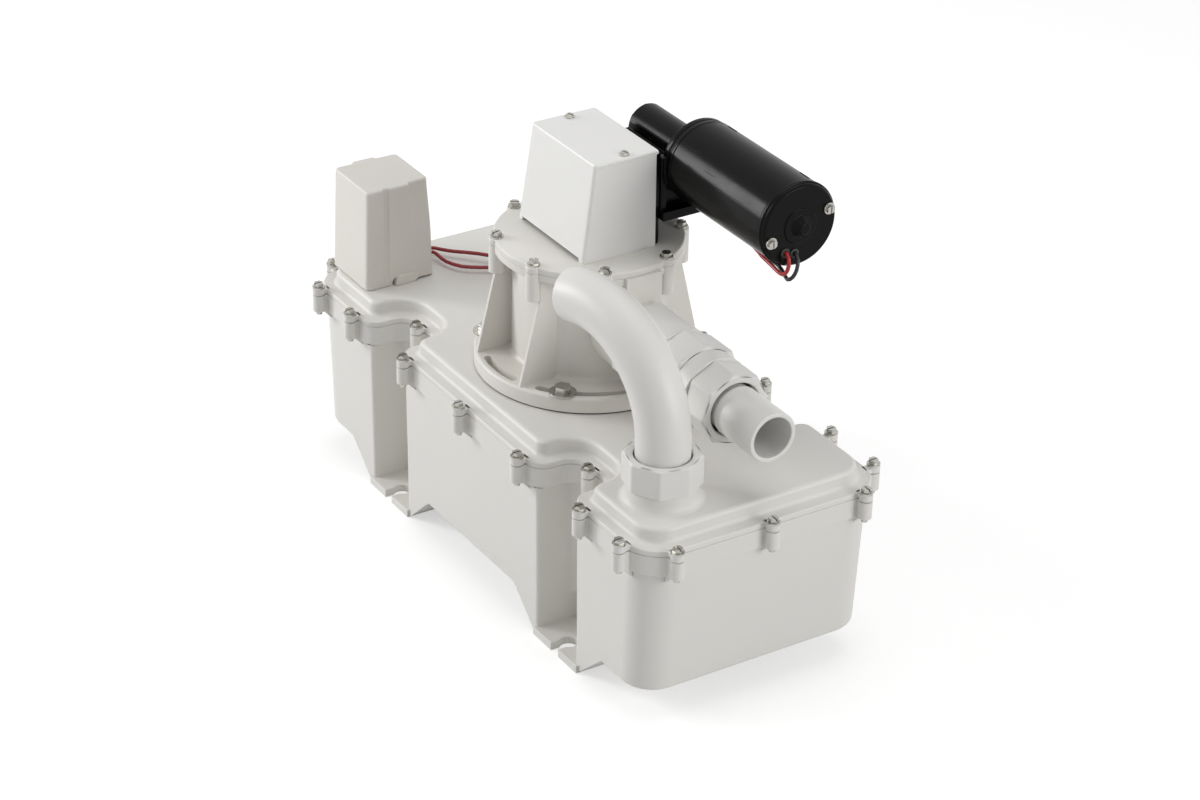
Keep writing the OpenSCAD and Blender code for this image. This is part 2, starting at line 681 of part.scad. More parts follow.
module pump_housing() color(white) difference() {
    collar = pump_x + collar_end;
    union() {
        translate([pump_x, pump_y, 0]) pump_shell();
        at_top_screws() bar_z(top_boss_r, rim_z - top_boss_h, rim_z, 0, 0);
        for (k = [0:7]) translate([pump_x, pump_y, 0]) rotate(22.5 + 45*k) pump_rib();
        bar_x(collar_r, pump_x + body_in, collar, pump_y, outlet_z);
        block([pump_x + body_in, pump_y - 13, rim_z - top_boss_h - 3],
            [pump_x + plate_r + 2, pump_y + 17, rim_z]);
    }
    bar_z(body_in, pump_floor, rim_z + 1, pump_x, pump_y);
    bar_z(plate_r - 9, rim_z - bellows_t, rim_z + 1, pump_x, pump_y);
    bar_x(collar_r - 9, pump_x + 40, collar + 1, pump_y, outlet_z);
    bar_z(bill_r + fit, base_z - 1, pump_floor + 1, pump_x, pump_y);
    bar_z(dip_r + fit, base_z - 1, base_z + 4, pump_x, pump_y);
    bar_z(dip_r + 3 + fit, base_z + 4 - 0.01, base_z + 6, pump_x, pump_y);
    bar_z(dip_r + 3 + fit, base_z + 6 - 0.01, pump_floor + 1, pump_x, pump_y);
    for (k = [0:3]) translate([pump_x, pump_y, 0]) rotate(90*k)
        arc_slot(bolt_circle - 5, bolt_circle + 2.5, 13, base_z + 3, base_z + base_t + 1);
    for (k = [0:3]) translate([pump_x, pump_y, 0]) rotate(45 + 90*k)
        arc_slot(bolt_circle - 2.2, bolt_circle + 2.2, 15, base_z + 5, base_z + base_t + 1);
    at_base_bolts() bar_z(bolt_r + fit, base_z - 1, base_z + base_t, 0, 0);
    at_top_screws() bar_z(screw_r + fit, rim_z - top_boss_h + 4, rim_z + 1, 0, 0);
}
module base_seal() color(rubber) difference() {
    bar_z(base_r - 1, deck_z, base_z, pump_x, pump_y);
    bar_z(dip_r + 6, deck_z - 1, base_z + 1, pump_x, pump_y);
    at_base_bolts() bar_z(bolt_r + 0.5, deck_z - 1, base_z + 1, 0, 0);
}
module base_washers() color(steel) at_base_bolts() difference() {
    bar_z(washer_r, base_z + base_t, base_z + base_t + washer_t, 0, 0);
    bar_z(bolt_r + fit, base_z, base_z + base_t + washer_t + 1, 0, 0);
}
module base_bolts() color(steel) at_base_bolts() {
    z0 = base_z + base_t + washer_t;
    bar_z(6.4, z0, z0 + 4.6, 0, 0, 6, 20);
    bar_z(bolt_r, lid_z + 1, z0, 0, 0);
}
module top_plate() color(white) difference() {
    union() {
        bar_z(plate_r, rim_z, plate_z, pump_x, pump_y);
        at_top_screws() bar_z(top_boss_r, rim_z, plate_z, 0, 0);
    }
    bar_z(12, rim_z - 1, plate_z + 1, pump_x, pump_y);
    at_top_screws() bar_z(screw_r + fit, rim_z - 1, plate_z + 1, 0, 0);
    at_bracket_screws() bar_z(screw_r + fit, rim_z - 1, plate_z + 1, 0, 0);
}
module top_plate_screws() color(steel)
    at_top_screws() translate([0, 0, plate_z]) rotate(35) screw(plate_t + top_boss_h - 8);

// Bellows and connecting rod

module bellows() color(rubber) translate([pump_x, pump_y, 0]) {
    top = rim_z - bellows_t;
    low = lift_z + lift_plate_t;
    pitch = (top - low - bellows_t)/folds;
    wall = 1.6;
    inner = bellows_r - fold_depth;
    start = low + bellows_t;
    rotate_extrude() polygon(concat([[inner - 3, low], [bellows_r - 2, low], [bellows_r - 2, start]],
        [for (i = [0:folds - 1])
            each [[inner + wall, start + i*pitch + 0.8], [bellows_r, start + (i + 0.5)*pitch]]],
        [[inner + wall, top - 0.8], [body_in - 1, top], [plate_r - 9 - fit, top], [plate_r - 9 - fit, rim_z],
            [inner - 3, rim_z], [inner - 3, top]],
        [for (i = [folds - 1:-1:0]) each [[inner, top - (folds - 1 - i)*pitch - 0.8],
            [bellows_r - 2*wall, start + (i + 0.5)*pitch]]],
        [[inner, start + 0.4], [inner - 3, start]]));
}
module bellows_plate() color("#8d9092") difference() {
    bar_z(bellows_r - 2, lift_z, lift_z + lift_plate_t, pump_x, pump_y);
    bar_z(3 + fit, lift_z - 1, lift_z + lift_plate_t + 1, pump_x, pump_y);
}
module connecting_rod() color("#7d8082") {
    low = lift_z + lift_plate_t;
    difference() {
        union() {
            bar_y(eye_r + eye_wall, pump_y - rod_t/2, pump_y + rod_t/2, pump_x, crank_z);
            block([pump_x - 6, pump_y - rod_t/2, low + 6], [pump_x + 6, pump_y + rod_t/2, crank_z - eye_r - 1]);
            bar_z(16, low, low + 6, pump_x, pump_y);
        }
        bar_y(eye_r, pump_y - rod_t, pump_y + rod_t, pump_x, crank_z);
    }
    bar_z(3, lift_z - 2, low, pump_x, pump_y);
    bar_z(6, lift_z - 4, lift_z, pump_x, pump_y, 6);
}

// Valves and dip tube

module duckbill() difference() {
    union() {
        cylinder(r = bill_r, h = 0.5*bill_l);
        hull() {
            translate([0, 0, 0.5*bill_l - 0.1]) cylinder(r = bill_r, h = 0.1, $fn = 32);
            translate([-bill_r + 1, -1.5, bill_l - 0.1]) cube([2*bill_r - 2, 3, 0.1]);
        }
    }
    translate([0, 0, -1]) cylinder(r = bill_r - 2, h = 0.5*bill_l + 1);
    hull() {
        translate([0, 0, 0.5*bill_l - 0.2]) cylinder(r = bill_r - 2, h = 0.1, $fn = 32);
        translate([-bill_r + 3, -0.4, bill_l]) cube([2*bill_r - 6, 0.8, 0.2]);
    }
}
module inlet_valve() color(rubber) translate([pump_x, pump_y, base_z + 6]) {
    difference() {
        cylinder(r = dip_r + 3, h = 2);
        translate([0, 0, -1]) cylinder(r = bill_r - 2, h = 4);
    }
    translate([0, 0, 2]) duckbill();
}
module dip_tube() color(white) difference() {
    union() {
        bar_z(dip_r, foot_h + tank_wall + dip_gap, base_z + 6, pump_x, pump_y);
        bar_z(dip_r + 3, base_z + 4, base_z + 6, pump_x, pump_y);
    }
    bar_z(dip_r - dip_wall, foot_h, base_z + 7, pump_x, pump_y);
}
module outlet_valve() color(rubber) translate([pump_x + collar_end + 21, pump_y, outlet_z]) rotate([0, 90, 0]) {
    difference() {
        cylinder(r = union_bore - 0.2, h = 3);
        translate([0, 0, -1]) cylinder(r = bill_r - 2, h = 5);
    }
    translate([0, 0, 3]) duckbill();
}

// Discharge line

union_bore = 23;
thread_r = 25;
x_nut = pump_x + collar_end + union_l;
x_ring = x_nut + union_nut_l;
x_hose = x_ring + tail_l;
x_tip = x_hose + hose_nut_l;
module outlet_union() color(white) difference() {
    union() {
        bar_x(union_r, pump_x + collar_end, x_nut, pump_y, outlet_z, 8, -20);
        bar_x(collar_r - 9 - fit, pump_x + collar_end - 7, x_nut, pump_y, outlet_z);
        bar_x(thread_r, x_nut - 1, x_nut + 13, pump_y, outlet_z);
    }
    bar_x(17, pump_x + collar_end - 8, x_nut + 14, pump_y, outlet_z);
    bar_x(union_bore, pump_x + collar_end + 21, x_nut + 14, pump_y, outlet_z);
}
module outlet_nut() color(white) difference() {
    bar_x(union_r, x_nut, x_ring, pump_y, outlet_z, 8, -3);
    bar_x(thread_r + 0.2, x_nut - 1, x_ring - 10, pump_y, outlet_z);
    bar_x(21, x_nut, x_ring + 1, pump_y, outlet_z);
}
module tail_piece() color(white) difference() {
    union() {
        bar_x(union_bore - 0.2, pump_x + collar_end + 24, x_nut + 13, pump_y, outlet_z);
        bar_x(thread_r, x_nut + 13, x_ring - 10, pump_y, outlet_z);
        bar_x(20.8, x_ring - 10, x_ring, pump_y, outlet_z);
        bar_x(tail_r, x_ring, x_hose, pump_y, outlet_z);
        bar_x(nipple_r + 3.4, x_hose, x_tip - 10, pump_y, outlet_z);
    }
    bar_x(16.5, x_nut - 40, x_tip, pump_y, outlet_z);
    bar_x(nipple_in_r + fit, x_ring + 4, x_tip, pump_y, outlet_z);
}
// Radius of the nipple's part inside the hose nut
nipple_in_r = nipple_r - 1.05;
module nipple_seal() color(rubber) difference() {
    bar_x(nipple_r + 3.4, x_tip - 10, x_tip - 7, pump_y, outlet_z);
    bar_x(nipple_in_r + run, x_tip - 11, x_tip, pump_y, outlet_z);
}
module hose_nut() color(white) difference() {
    bar_x(hose_nut_r, x_hose, x_tip, pump_y, outlet_z, 8, 5);
    bar_x(nipple_r + 3.6, x_hose - 1, x_tip - 7, pump_y, outlet_z);
    bar_x(nipple_r + 1.2, x_hose, x_tip + 2, pump_y, outlet_z);
}
module discharge_nipple() color(white) difference() {
    union() {
        bar_x(nipple_in_r, x_ring + 4, x_tip + 1, pump_y, outlet_z);
        bar_x(nipple_r, x_tip + 1, x_tip + nipple_out, pump_y, outlet_z);
    }
    bar_x(nipple_bore, x_ring, x_tip + nipple_out + 1, pump_y, outlet_z);
}

// Drive cover and bracket

cover_x = pump_x + cover_shift;
// Screws through the bracket into the gear case, from the crank shaft
case_screws = [[-27, -9], [27, -9], [-27, 14], [27, 14]];
case_screw_r = 1.6;
ear_z = plate_z + cover_h - cover_wall - 3;
ear_x = 37.5;
module at_bracket_screws() for (s = [-1, 1])
    translate([pump_x + s*32, plate_face - 9, 0]) children();
module at_cover_screws() for (s = [-1, 1])
    translate([cover_x + s*ear_x, plate_face - 24, 0]) children();
module drive_cover_solid(d, z0, z1, soft) {
    y1 = plate_face - fit + (d > 0 ? 10 : 0);
    w = cover_w/2 - d;
    tw = cover_top_w/2 - d;
    y0 = plate_face - cover_d + d;
    ty = plate_face - cover_top_d + d;
    r = max(3.5 - d, 0.6);
    loft([[box_outline(cover_x - w, cover_x + w, y0, y1, r), z0],
        [box_outline(cover_x - tw, cover_x + tw, ty, y1, r), z1 - soft],
        [box_outline(cover_x - tw + soft*0.3, cover_x + tw - soft*0.3, ty + soft*0.3, y1 - soft*0.1, r),
            z1 - soft*0.3],
        [box_outline(cover_x - tw + soft, cover_x + tw - soft, ty + soft, y1 - soft*0.2, r), z1]]);
}
module drive_cover() color("#e2e2e2") difference() {
    drive_cover_solid(0, plate_z, plate_z + cover_h, 1.6);
    drive_cover_solid(cover_wall, plate_z - 1, plate_z + cover_h - cover_wall, 0.4);
    block([cover_x - cover_w/2 + 6, plate_face - cover_d - 5, plate_z - 1],
        [cover_x + cover_w/2 - 6, plate_face - cover_d + 6, plate_z + cover_notch]);
    at_cover_screws() bar_z(screw_r + fit, plate_z + cover_h - 10, plate_z + cover_h + 1, 0, 0);
}
module cover_screws() color(steel)
    at_cover_screws() translate([0, 0, plate_z + cover_h]) rotate(20) screw(cover_wall + 2.6, screw_r, 4, 2.4);
module drive_bracket() color(black) difference() {
    half = cover_top_w/2 - 1;
    union() {
        block([cover_x - half, plate_face, plate_z], [cover_x + half, case_face, plate_z + cover_h - 3]);
        block([pump_x - 40, plate_face - 16, plate_z], [pump_x + 38, case_face, plate_z + 4]);
        for (s = [-1, 1])
            block([cover_x + s*ear_x - 3.6, plate_face - 28, ear_z],
                [cover_x + s*ear_x + 3.6, case_face, ear_z + 3 - fit]);
    }
    bar_y(shaft_r + 2 + fit, plate_face - 1, case_face + 1, pump_x, crank_z);
    at_bracket_screws() bar_z(screw_r + fit, plate_z - 1, plate_z + 5, 0, 0);
    at_cover_screws() bar_z(screw_r + fit, ear_z - 1, ear_z + 5, 0, 0);
    for (s = case_screws)
        bar_y(case_screw_r + fit, plate_face - 1, case_face + 1, pump_x + s[0], crank_z + s[1]);
}
module bracket_screws() color(steel) {
    at_bracket_screws() translate([0, 0, plate_z + 4]) screw(plate_t + 3, screw_r, 4.5, 2.8);
    for (s = case_screws) {
        bar_y(case_screw_r, plate_face, case_face + 8, pump_x + s[0], crank_z + s[1]);
        bar_y(3, plate_face - case_screw_r, plate_face, pump_x + s[0], crank_z + s[1]);
    }
}

// Gear case

hub_y0 = worm_y - 8;
hub_y1 = worm_y + 8;
case_back = case_face + case_d;
module gear_housing() color(black) difference() {
    side = motor_x - 3;
    union() {
        block([pump_x - 31, case_face, case_z], [pump_x + side - 3, case_back, worm_z]);
        block([pump_x - 31, case_face, case_z], [pump_x + side + 6, case_back + 2, case_z + ledge_t]);
        block([pump_x + side - 5, case_face, case_z], [pump_x + side + 2, case_face + 5, worm_z + 8]);
        bar_x(tube_r, pump_x - tube_out, pump_x + motor_x, worm_y, worm_z);
        bar_x(motor_r - 0.5, pump_x + motor_x - 5, pump_x + motor_x, worm_y, worm_z);
    }
    bar_y(cavity_r, case_face - 1, hub_y1 + 0.5, pump_x, crank_z);
    bar_y(shaft_r + 2 + fit, hub_y1, case_back - 3, pump_x, crank_z);
    bar_x(worm_r + addendum + 0.5, pump_x - tube_out + 4, pump_x + motor_x + 1, worm_y, worm_z);
    bar_x(bearing_r + fit, pump_x + motor_x - 7, pump_x + motor_x + 1, worm_y, worm_z);
    bar_x(bearing_r + fit, pump_x - tube_out + 3, pump_x - tube_out + 9.2, worm_y, worm_z);
    bar_y(1.4, worm_y - tube_r - 4, worm_y - tube_r + 4, pump_x, worm_z + 4);
    for (s = case_screws)
        bar_y(case_screw_r + fit, case_face - 1, case_face + 9, pump_x + s[0], crank_z + s[1]);
}
worm_len = 5*worm_pitch;
// Journal at the closed end of the worm tube
stub_r = 3;
module worm() color("#8f8b80") {
    lobe = addendum*1.1;
    translate([pump_x - worm_len/2, worm_y, worm_z]) rotate([0, 90, 0])
        linear_extrude(worm_len, twist = -360*worm_len/worm_pitch, slices = 64, $fn = 14)
            translate([lobe, 0]) circle(r = worm_r + addendum - lobe - 0.05, $fn = 14);
    bar_x(stub_r, pump_x - tube_out + 3.5, pump_x - worm_len/2, worm_y, worm_z);
}
module worm_wheel() color("#d9d2bc") translate([pump_x, worm_y, crank_z]) rotate([90, 0, 0]) difference() {
    lead_angle = atan(worm_pitch/(2*PI*worm_r));
    union() {
        cylinder(r = wheel_r - 1.15*addendum, h = wheel_w, center = true);
        cylinder(r = shaft_r + 4, h = hub_y1 - hub_y0, center = true);
        for (k = [0:teeth - 1]) rotate((k + 0.5)*360/teeth) rotate([-lead_angle, 0, 0])
            linear_extrude(wheel_w - 1, center = true)
                polygon([[wheel_r - 1.6, -0.95], [wheel_r, -0.6], [wheel_r + 0.9, -0.25], [wheel_r + 0.9, 0.25],
                    [wheel_r, 0.6], [wheel_r - 1.6, 0.95]]);
    }
    cylinder(r = shaft_r, h = 40, center = true);
}
module crank_shaft() color(steel)
    bar_y(shaft_r, crank_back, case_back - 3.5, pump_x, crank_z);
crank_front = pump_y + rod_t/2 + 1;
crank_back = crank_front + 6;
module crank_disc() color(steel) {
    bar_y(throw + pin_r + 3, crank_front, crank_back, pump_x, crank_z);
    bar_y(pin_r, pump_y - rod_t/2 - 1.5, crank_front, pump_x + throw, crank_z);
}
module wheel_bushes() color("#b08b4a") {
    difference() {
        union() {
            bar_y(shaft_r + 2, plate_face - 3, case_face + 2, pump_x, crank_z);
            bar_y(shaft_r + 4, plate_face - 3, plate_face, pump_x, crank_z);
        }
        bar_y(shaft_r + run, plate_face - 10, case_face + 10, pump_x, crank_z);
    }
    difference() {
        bar_y(shaft_r + 2, hub_y1 + 0.3, case_back - 3, pump_x, crank_z);
        bar_y(shaft_r + run, hub_y1 - 1, case_back, pump_x, crank_z);
    }
}
bearing_r = 9;
cap_bearing_x = motor_end - bell_t + 0.5;
module bearing(x0, x1, bore) difference() {
    bar_x(bearing_r, x0, x1, worm_y, worm_z);
    bar_x(bore + run, x0 - 1, x1 + 1, worm_y, worm_z);
}
module shaft_bearings() color(steel) {
    bearing(pump_x - tube_out + 3.2, pump_x - tube_out + 9, stub_r);
    bearing(pump_x + motor_x - 6.8, pump_x + motor_x, motor_shaft_r);
    bearing(cap_bearing_x - 6, cap_bearing_x, motor_shaft_r);
}

// Motor

can_x0 = pump_x + motor_x + bell_t;
can_x1 = motor_end - bell_t;
can_in = motor_r - can_wall;
module at_motor_bolts() for (a = [motor_bolt_turn, 180 + motor_bolt_turn])
    translate([0, worm_y + motor_bolt_circle*cos(a), worm_z + motor_bolt_circle*sin(a)]) children();
module motor_front_bell() color(black) difference() {
    union() {
        bar_x(motor_r - 0.8, pump_x + motor_x, can_x0 - 3, worm_y, worm_z);
        bar_x(motor_r, can_x0 - 3, can_x0, worm_y, worm_z);
    }
    bar_x(motor_shaft_r + 1.5, pump_x, can_x0 + 1, worm_y, worm_z);
    bar_x(can_in, can_x0 - 2.5, can_x0 + 1, worm_y, worm_z);
    at_motor_bolts() bar_x(1.8 + fit, pump_x + motor_x + 1, can_x0 + 1, 0, 0);
}
module motor_can() color(black) difference() {
    bar_x(motor_r, can_x0, can_x1, worm_y, worm_z);
    bar_x(can_in, can_x0 - 1, can_x1 + 1, worm_y, worm_z);
    can_mark(can_x0 + 6);
    can_mark(can_x1 - 17);
}
module can_mark(x) translate([0, worm_y, worm_z]) rotate([62, 0, 0])
    block([x, motor_r - 0.4, -0.4], [x + 10, motor_r + 1, 0.4]);
module motor_end_cap() color(black) difference() {
    union() {
        bar_x(motor_r + 0.6, can_x1, can_x1 + 2.5, worm_y, worm_z);
        bar_x(motor_r - 0.6, can_x1 + 2.5, motor_end - 1.6, worm_y, worm_z);
        cone_x(motor_r - 0.6, motor_r - 2.2, motor_end - 1.6, motor_end, 64);
        bar_x(13.5, motor_end, motor_end + 1.2, worm_y, worm_z);
        cone_x(8.8, 4.3, motor_end + 1.2, motor_end + 7, 8);
        bar_x(bearing_r + 2.5, cap_bearing_x - 6, motor_end - 1, worm_y, worm_z);
    }
    bar_x(bearing_r + fit, cap_bearing_x - 7, cap_bearing_x, worm_y, worm_z);
    at_motor_bolts() bar_x(1.8 + fit, can_x1 - 1, motor_end + 1, 0, 0);
    for (h = lead_holes) bar_x(3 + fit, can_x1 - 1, motor_end + 1, worm_y + h[0], worm_z + h[1]);
}
// Cone on the motor's axis
module cone_x(r0, r1, x0, x1, sides) translate([x0, worm_y, worm_z]) rotate([0, 90, 0])
    cylinder(r1 = r0, r2 = r1, h = x1 - x0, $fn = sides);
module motor_bolts() color(steel) at_motor_bolts() {
    bar_x(1.8, pump_x + motor_x + 1.2, motor_end, 0, 0);
    translate([motor_end, 0, 0]) rotate([0, 90, 0]) screw(0.1, 1.8, 4.4, 3.4);
}
// Places of the red and the black lead in the end cap, from the motor's axis
lead_holes = [[-11.8, -18.4], [-4, -20.4]];
module lead_grommets() color(rubber) for (h = lead_holes) difference() {
    y = worm_y + h[0];
    z = worm_z + h[1];
    union() {
        bar_x(3, can_x1, motor_end, y, z);
        bar_x(3.7, motor_end, motor_end + 1, y, z);
    }
    bar_x(wire_r + run, can_x1 - 1, motor_end + 2, y, z);
}
module motor_magnets() color("#3c3a3a") for (a = [0, 180])
    translate([can_x0 + 12, worm_y, worm_z]) rotate([a, 0, 0]) rotate([0, 90, 0]) rotate(-60)
        rotate_extrude(angle = 120) translate([can_in - 5, 0]) square([5 - fit, magnet_l]);
// End of the winding's second end turns
winding_end = can_x0 + 16 + winding_l + 8;
module armature() color("#a5622c") {
    core = can_in - 6.5;
    bar_x(core, can_x0 + 16, can_x0 + 16 + winding_l, worm_y, worm_z);
    bar_x(core - 4, can_x0 + 8, winding_end, worm_y, worm_z);
    bar_x(motor_shaft_r, pump_x + worm_len/2, cap_bearing_x - 0.5, worm_y, worm_z);
}
module commutator() color("#b8763a") difference() {
    bar_x(9, winding_end, cap_bearing_x - 7, worm_y, worm_z);
    bar_x(motor_shaft_r, winding_end - 1, cap_bearing_x, worm_y, worm_z);
}
module brush_holder() color("#5b4a33") {
    x0 = cap_bearing_x - 12;
    difference() {
        bar_x(can_in - fit, x0, x0 + 3, worm_y, worm_z);
        bar_x(12, x0 - 1, x0 + 4, worm_y, worm_z);
        at_motor_bolts() bar_x(2.4, x0 - 1, x0 + 4, 0, 0);
    }
    for (z = [worm_z - 20, worm_z + 13]) block([x0 - 5, worm_y - 3, z], [x0, worm_y + 3, z + 7]);
}

// Wires

function moved(points, by) = [for (p = points) p + by];
by_switch = [switch_x, switch_y, deck_z];
by_pump = [pump_x, pump_y, deck_z];
by_case = [pump_x, worm_y, worm_z];
by_cap = [motor_end, worm_y, worm_z];
feed_points = concat(moved([[-6, 3, 39], [-6, 9.5, 39], [-6, 16.5, 39], [-6, 20.5, 35], [-6, 22, 26],
    [-6, 22.5, 16], [-6, 23.5, 8], [-6, 27.5, 4], [-6, 34.5, 3.5], [-4, 43.5, 6.5], [3, 51, 6], [11, 58, 6]],
    by_switch), moved([[-182, 10, 7], [-165, 23, 7], [-150, 31, 5], [-126, 43, 3], [-100, 48, 3],
    [-84, 55, 5], [-80, 62, 6], [-80, 64.5, 6], [-80, 67, 6]], by_pump));
return_points = concat(moved([[3, 3, 39], [3, 9.5, 39], [3, 16.5, 39], [3, 20.5, 35], [3, 22, 26],
    [3, 22.5, 16], [3, 23.5, 8], [3, 27.5, 4], [3, 34.5, 3.5], [4, 42.5, 6.5], [11, 44, 5.5], [21, 45, 4.7],
    [35, 51, 5]], by_switch), moved([[-163, 2, 5], [-157, 11, 5], [-140, 26, 4], [-115, 39, 3], [-92, 45, 3],
    [-77, 53, 5], [-72, 62, 6], [-72, 64.5, 6], [-72, 67, 6]], by_pump));
red_points = concat(moved([for (x = [-14.5, -7, 0, 2]) [x, lead_holes[0][0], lead_holes[0][1]]], by_cap),
    moved([[5.2, -12, -21], [6, -12.4, -26], [4.5, -12.8, -31], [0, -12.8, -35], [-7, -12, -36],
    [-17, -11, -35.2], [-30, -10, -34.2], [-44, -7, -33.8]], by_cap),
    moved([[90, -4, -34.5], [66, 0, -35.5], [56, 10, -35.5], [48, 22, -34.5], [30, 26, -34.5], [0, 26, -35.5],
    [-26, 25, -41.5], [-44, 22, -57.5], [-54, 18, -81.5]], by_case),
    moved([[-58, 82, 58], [-66, 77, 28], [-68, 75, 16], [-68, 75, 13], [-68, 75, 10]], by_pump));
black_points = concat(moved([for (x = [-14.5, -7, 0, 2]) [x, lead_holes[1][0], lead_holes[1][1]]], by_cap),
    moved([[5.8, -4.5, -23.5], [7, -6, -30], [5.5, -8, -36], [1, -9, -39.5], [-6, -7, -39], [-16, -5, -37],
    [-30, -5, -36.2], [-44, -3, -36]], by_cap),
    moved([[90, 1, -36.5], [68, 6, -37.5], [59, 16, -36.5], [50, 26.5, -35.5], [30, 30, -35.5],
    [0, 30, -36.5], [-28, 29, -43.5], [-48, 26, -59.5], [-58, 22, -83.5]], by_case),
    moved([[-62, 86, 56], [-74, 79, 28], [-77, 75, 16], [-77, 75, 13], [-77, 75, 10]], by_pump));
module switch_wire_feed() color("#6e1620") sweep(spline(feed_points, 2), wire_r);
module switch_wire_return() color("#6e1620") sweep(spline(return_points, 2), wire_r);
module motor_lead_red() color("#b01c22") sweep(spline(red_points, 2), wire_r);
module motor_lead_black() color(black) sweep(spline(black_points, 2), wire_r);
// Terminal block on the lid, from the pump's axis
block_x = [-86, -60];
block_y = [67, 83];
block_h = 10;
module supply_terminals() color("#303033") {
    block([pump_x + block_x[0], pump_y + block_y[0], deck_z], [pump_x + block_x[1], pump_y + block_y[1],
        deck_z + block_h]);
    for (x = [-80, -72, -66])
        bar_z(2.6, deck_z + block_h, deck_z + block_h + 1.5, pump_x + x, pump_y + block_y[1] - 4);
}

tank_body();
tank_gasket();
tank_lid();
lid_screws();
switch_cover();
switch_stem();
switch_base();
switch_plunger();
switch_spring();
switch_terminals();
switch_wire_feed();
switch_wire_return();
pump_housing();
base_seal();
base_bolts();
base_washers();
top_plate();
top_plate_screws();
bellows();
bellows_plate();
connecting_rod();
inlet_valve();
dip_tube();
outlet_valve();
outlet_union();
outlet_nut();
tail_piece();
hose_nut();
discharge_nipple();
nipple_seal();
inlet_pipe();
inlet_nut();
inlet_seal();
drive_bracket();
bracket_screws();
gear_housing();
worm();
shaft_bearings();
worm_wheel();
crank_shaft();
crank_disc();
wheel_bushes();
drive_cover();
cover_screws();
motor_can();
motor_front_bell();
motor_end_cap();
motor_bolts();
lead_grommets();
motor_magnets();
armature();
commutator();
brush_holder();
motor_lead_red();
motor_lead_black();
supply_terminals();
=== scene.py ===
import json
import math

import bmesh
import bpy
from mathutils import Matrix, Vector


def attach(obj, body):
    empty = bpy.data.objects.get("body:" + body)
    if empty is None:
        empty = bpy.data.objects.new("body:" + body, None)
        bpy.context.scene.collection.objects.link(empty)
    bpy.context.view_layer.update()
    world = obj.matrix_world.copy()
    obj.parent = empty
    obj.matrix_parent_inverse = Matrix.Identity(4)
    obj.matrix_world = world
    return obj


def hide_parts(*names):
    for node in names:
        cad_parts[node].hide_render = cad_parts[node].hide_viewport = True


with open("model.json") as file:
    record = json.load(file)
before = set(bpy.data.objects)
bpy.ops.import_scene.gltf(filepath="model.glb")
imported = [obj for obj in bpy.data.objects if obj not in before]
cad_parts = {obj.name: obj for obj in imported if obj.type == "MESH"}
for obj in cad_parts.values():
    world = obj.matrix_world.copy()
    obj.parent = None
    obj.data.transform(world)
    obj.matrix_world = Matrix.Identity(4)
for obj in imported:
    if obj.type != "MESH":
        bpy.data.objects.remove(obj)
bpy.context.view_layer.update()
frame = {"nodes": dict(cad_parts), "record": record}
MM = 0.001
scene = bpy.context.scene


# Camera, floor and studio light

def photo_camera():
    """The camera that was fitted to the tank's edges and screws in the photograph."""
    data = bpy.data.cameras.new("photo_camera")
    data.lens, data.sensor_width = 96.73, 36
    data.clip_start, data.clip_end = 0.05, 30
    camera = bpy.data.objects.new("photo_camera", data)
    right = Vector((0.529371, 0.848176, 0.019096))
    down = Vector((0.423362, -0.244593, -0.872318))
    ahead = Vector((-0.735208, 0.469864, -0.488566))
    turn = Matrix((right, -down, -ahead)).transposed().to_4x4()
    camera.matrix_world = Matrix.Translation((1.80085, -1.13540, 1.31598)) @ turn
    scene.collection.objects.link(camera)
    scene.camera = camera


def softbox(name, place, aim, width, height, watts):
    """A rectangular lamp that faces a point."""
    data = bpy.data.lights.new(name, "AREA")
    data.shape, data.size, data.size_y, data.energy = "RECTANGLE", width, height, watts
    lamp = bpy.data.objects.new(name, data)
    lamp.location = place
    lamp.rotation_euler = (Vector(aim) - Vector(place)).to_track_quat("-Z", "Y").to_euler()
    scene.collection.objects.link(lamp)


# Materials

class Signal:
    """An output in a material; arithmetic on it adds Math nodes."""

    def __init__(self, finish, socket):
        self.finish, self.socket = finish, socket

    def math(self, operation, other):
        return self.finish.node("ShaderNodeMath", {"operation": operation}, {0: self, 1: other})

    def __add__(self, other):
        return self.math("ADD", other)

    def __mul__(self, other):
        return self.math("MULTIPLY", other)

    def ramp(self, low, high):
        """0 below low, 1 above high and smooth between."""
        return self.finish.node("ShaderNodeMapRange", {"interpolation_type": "SMOOTHSTEP"},
                                {0: self, 1: low, 2: high})


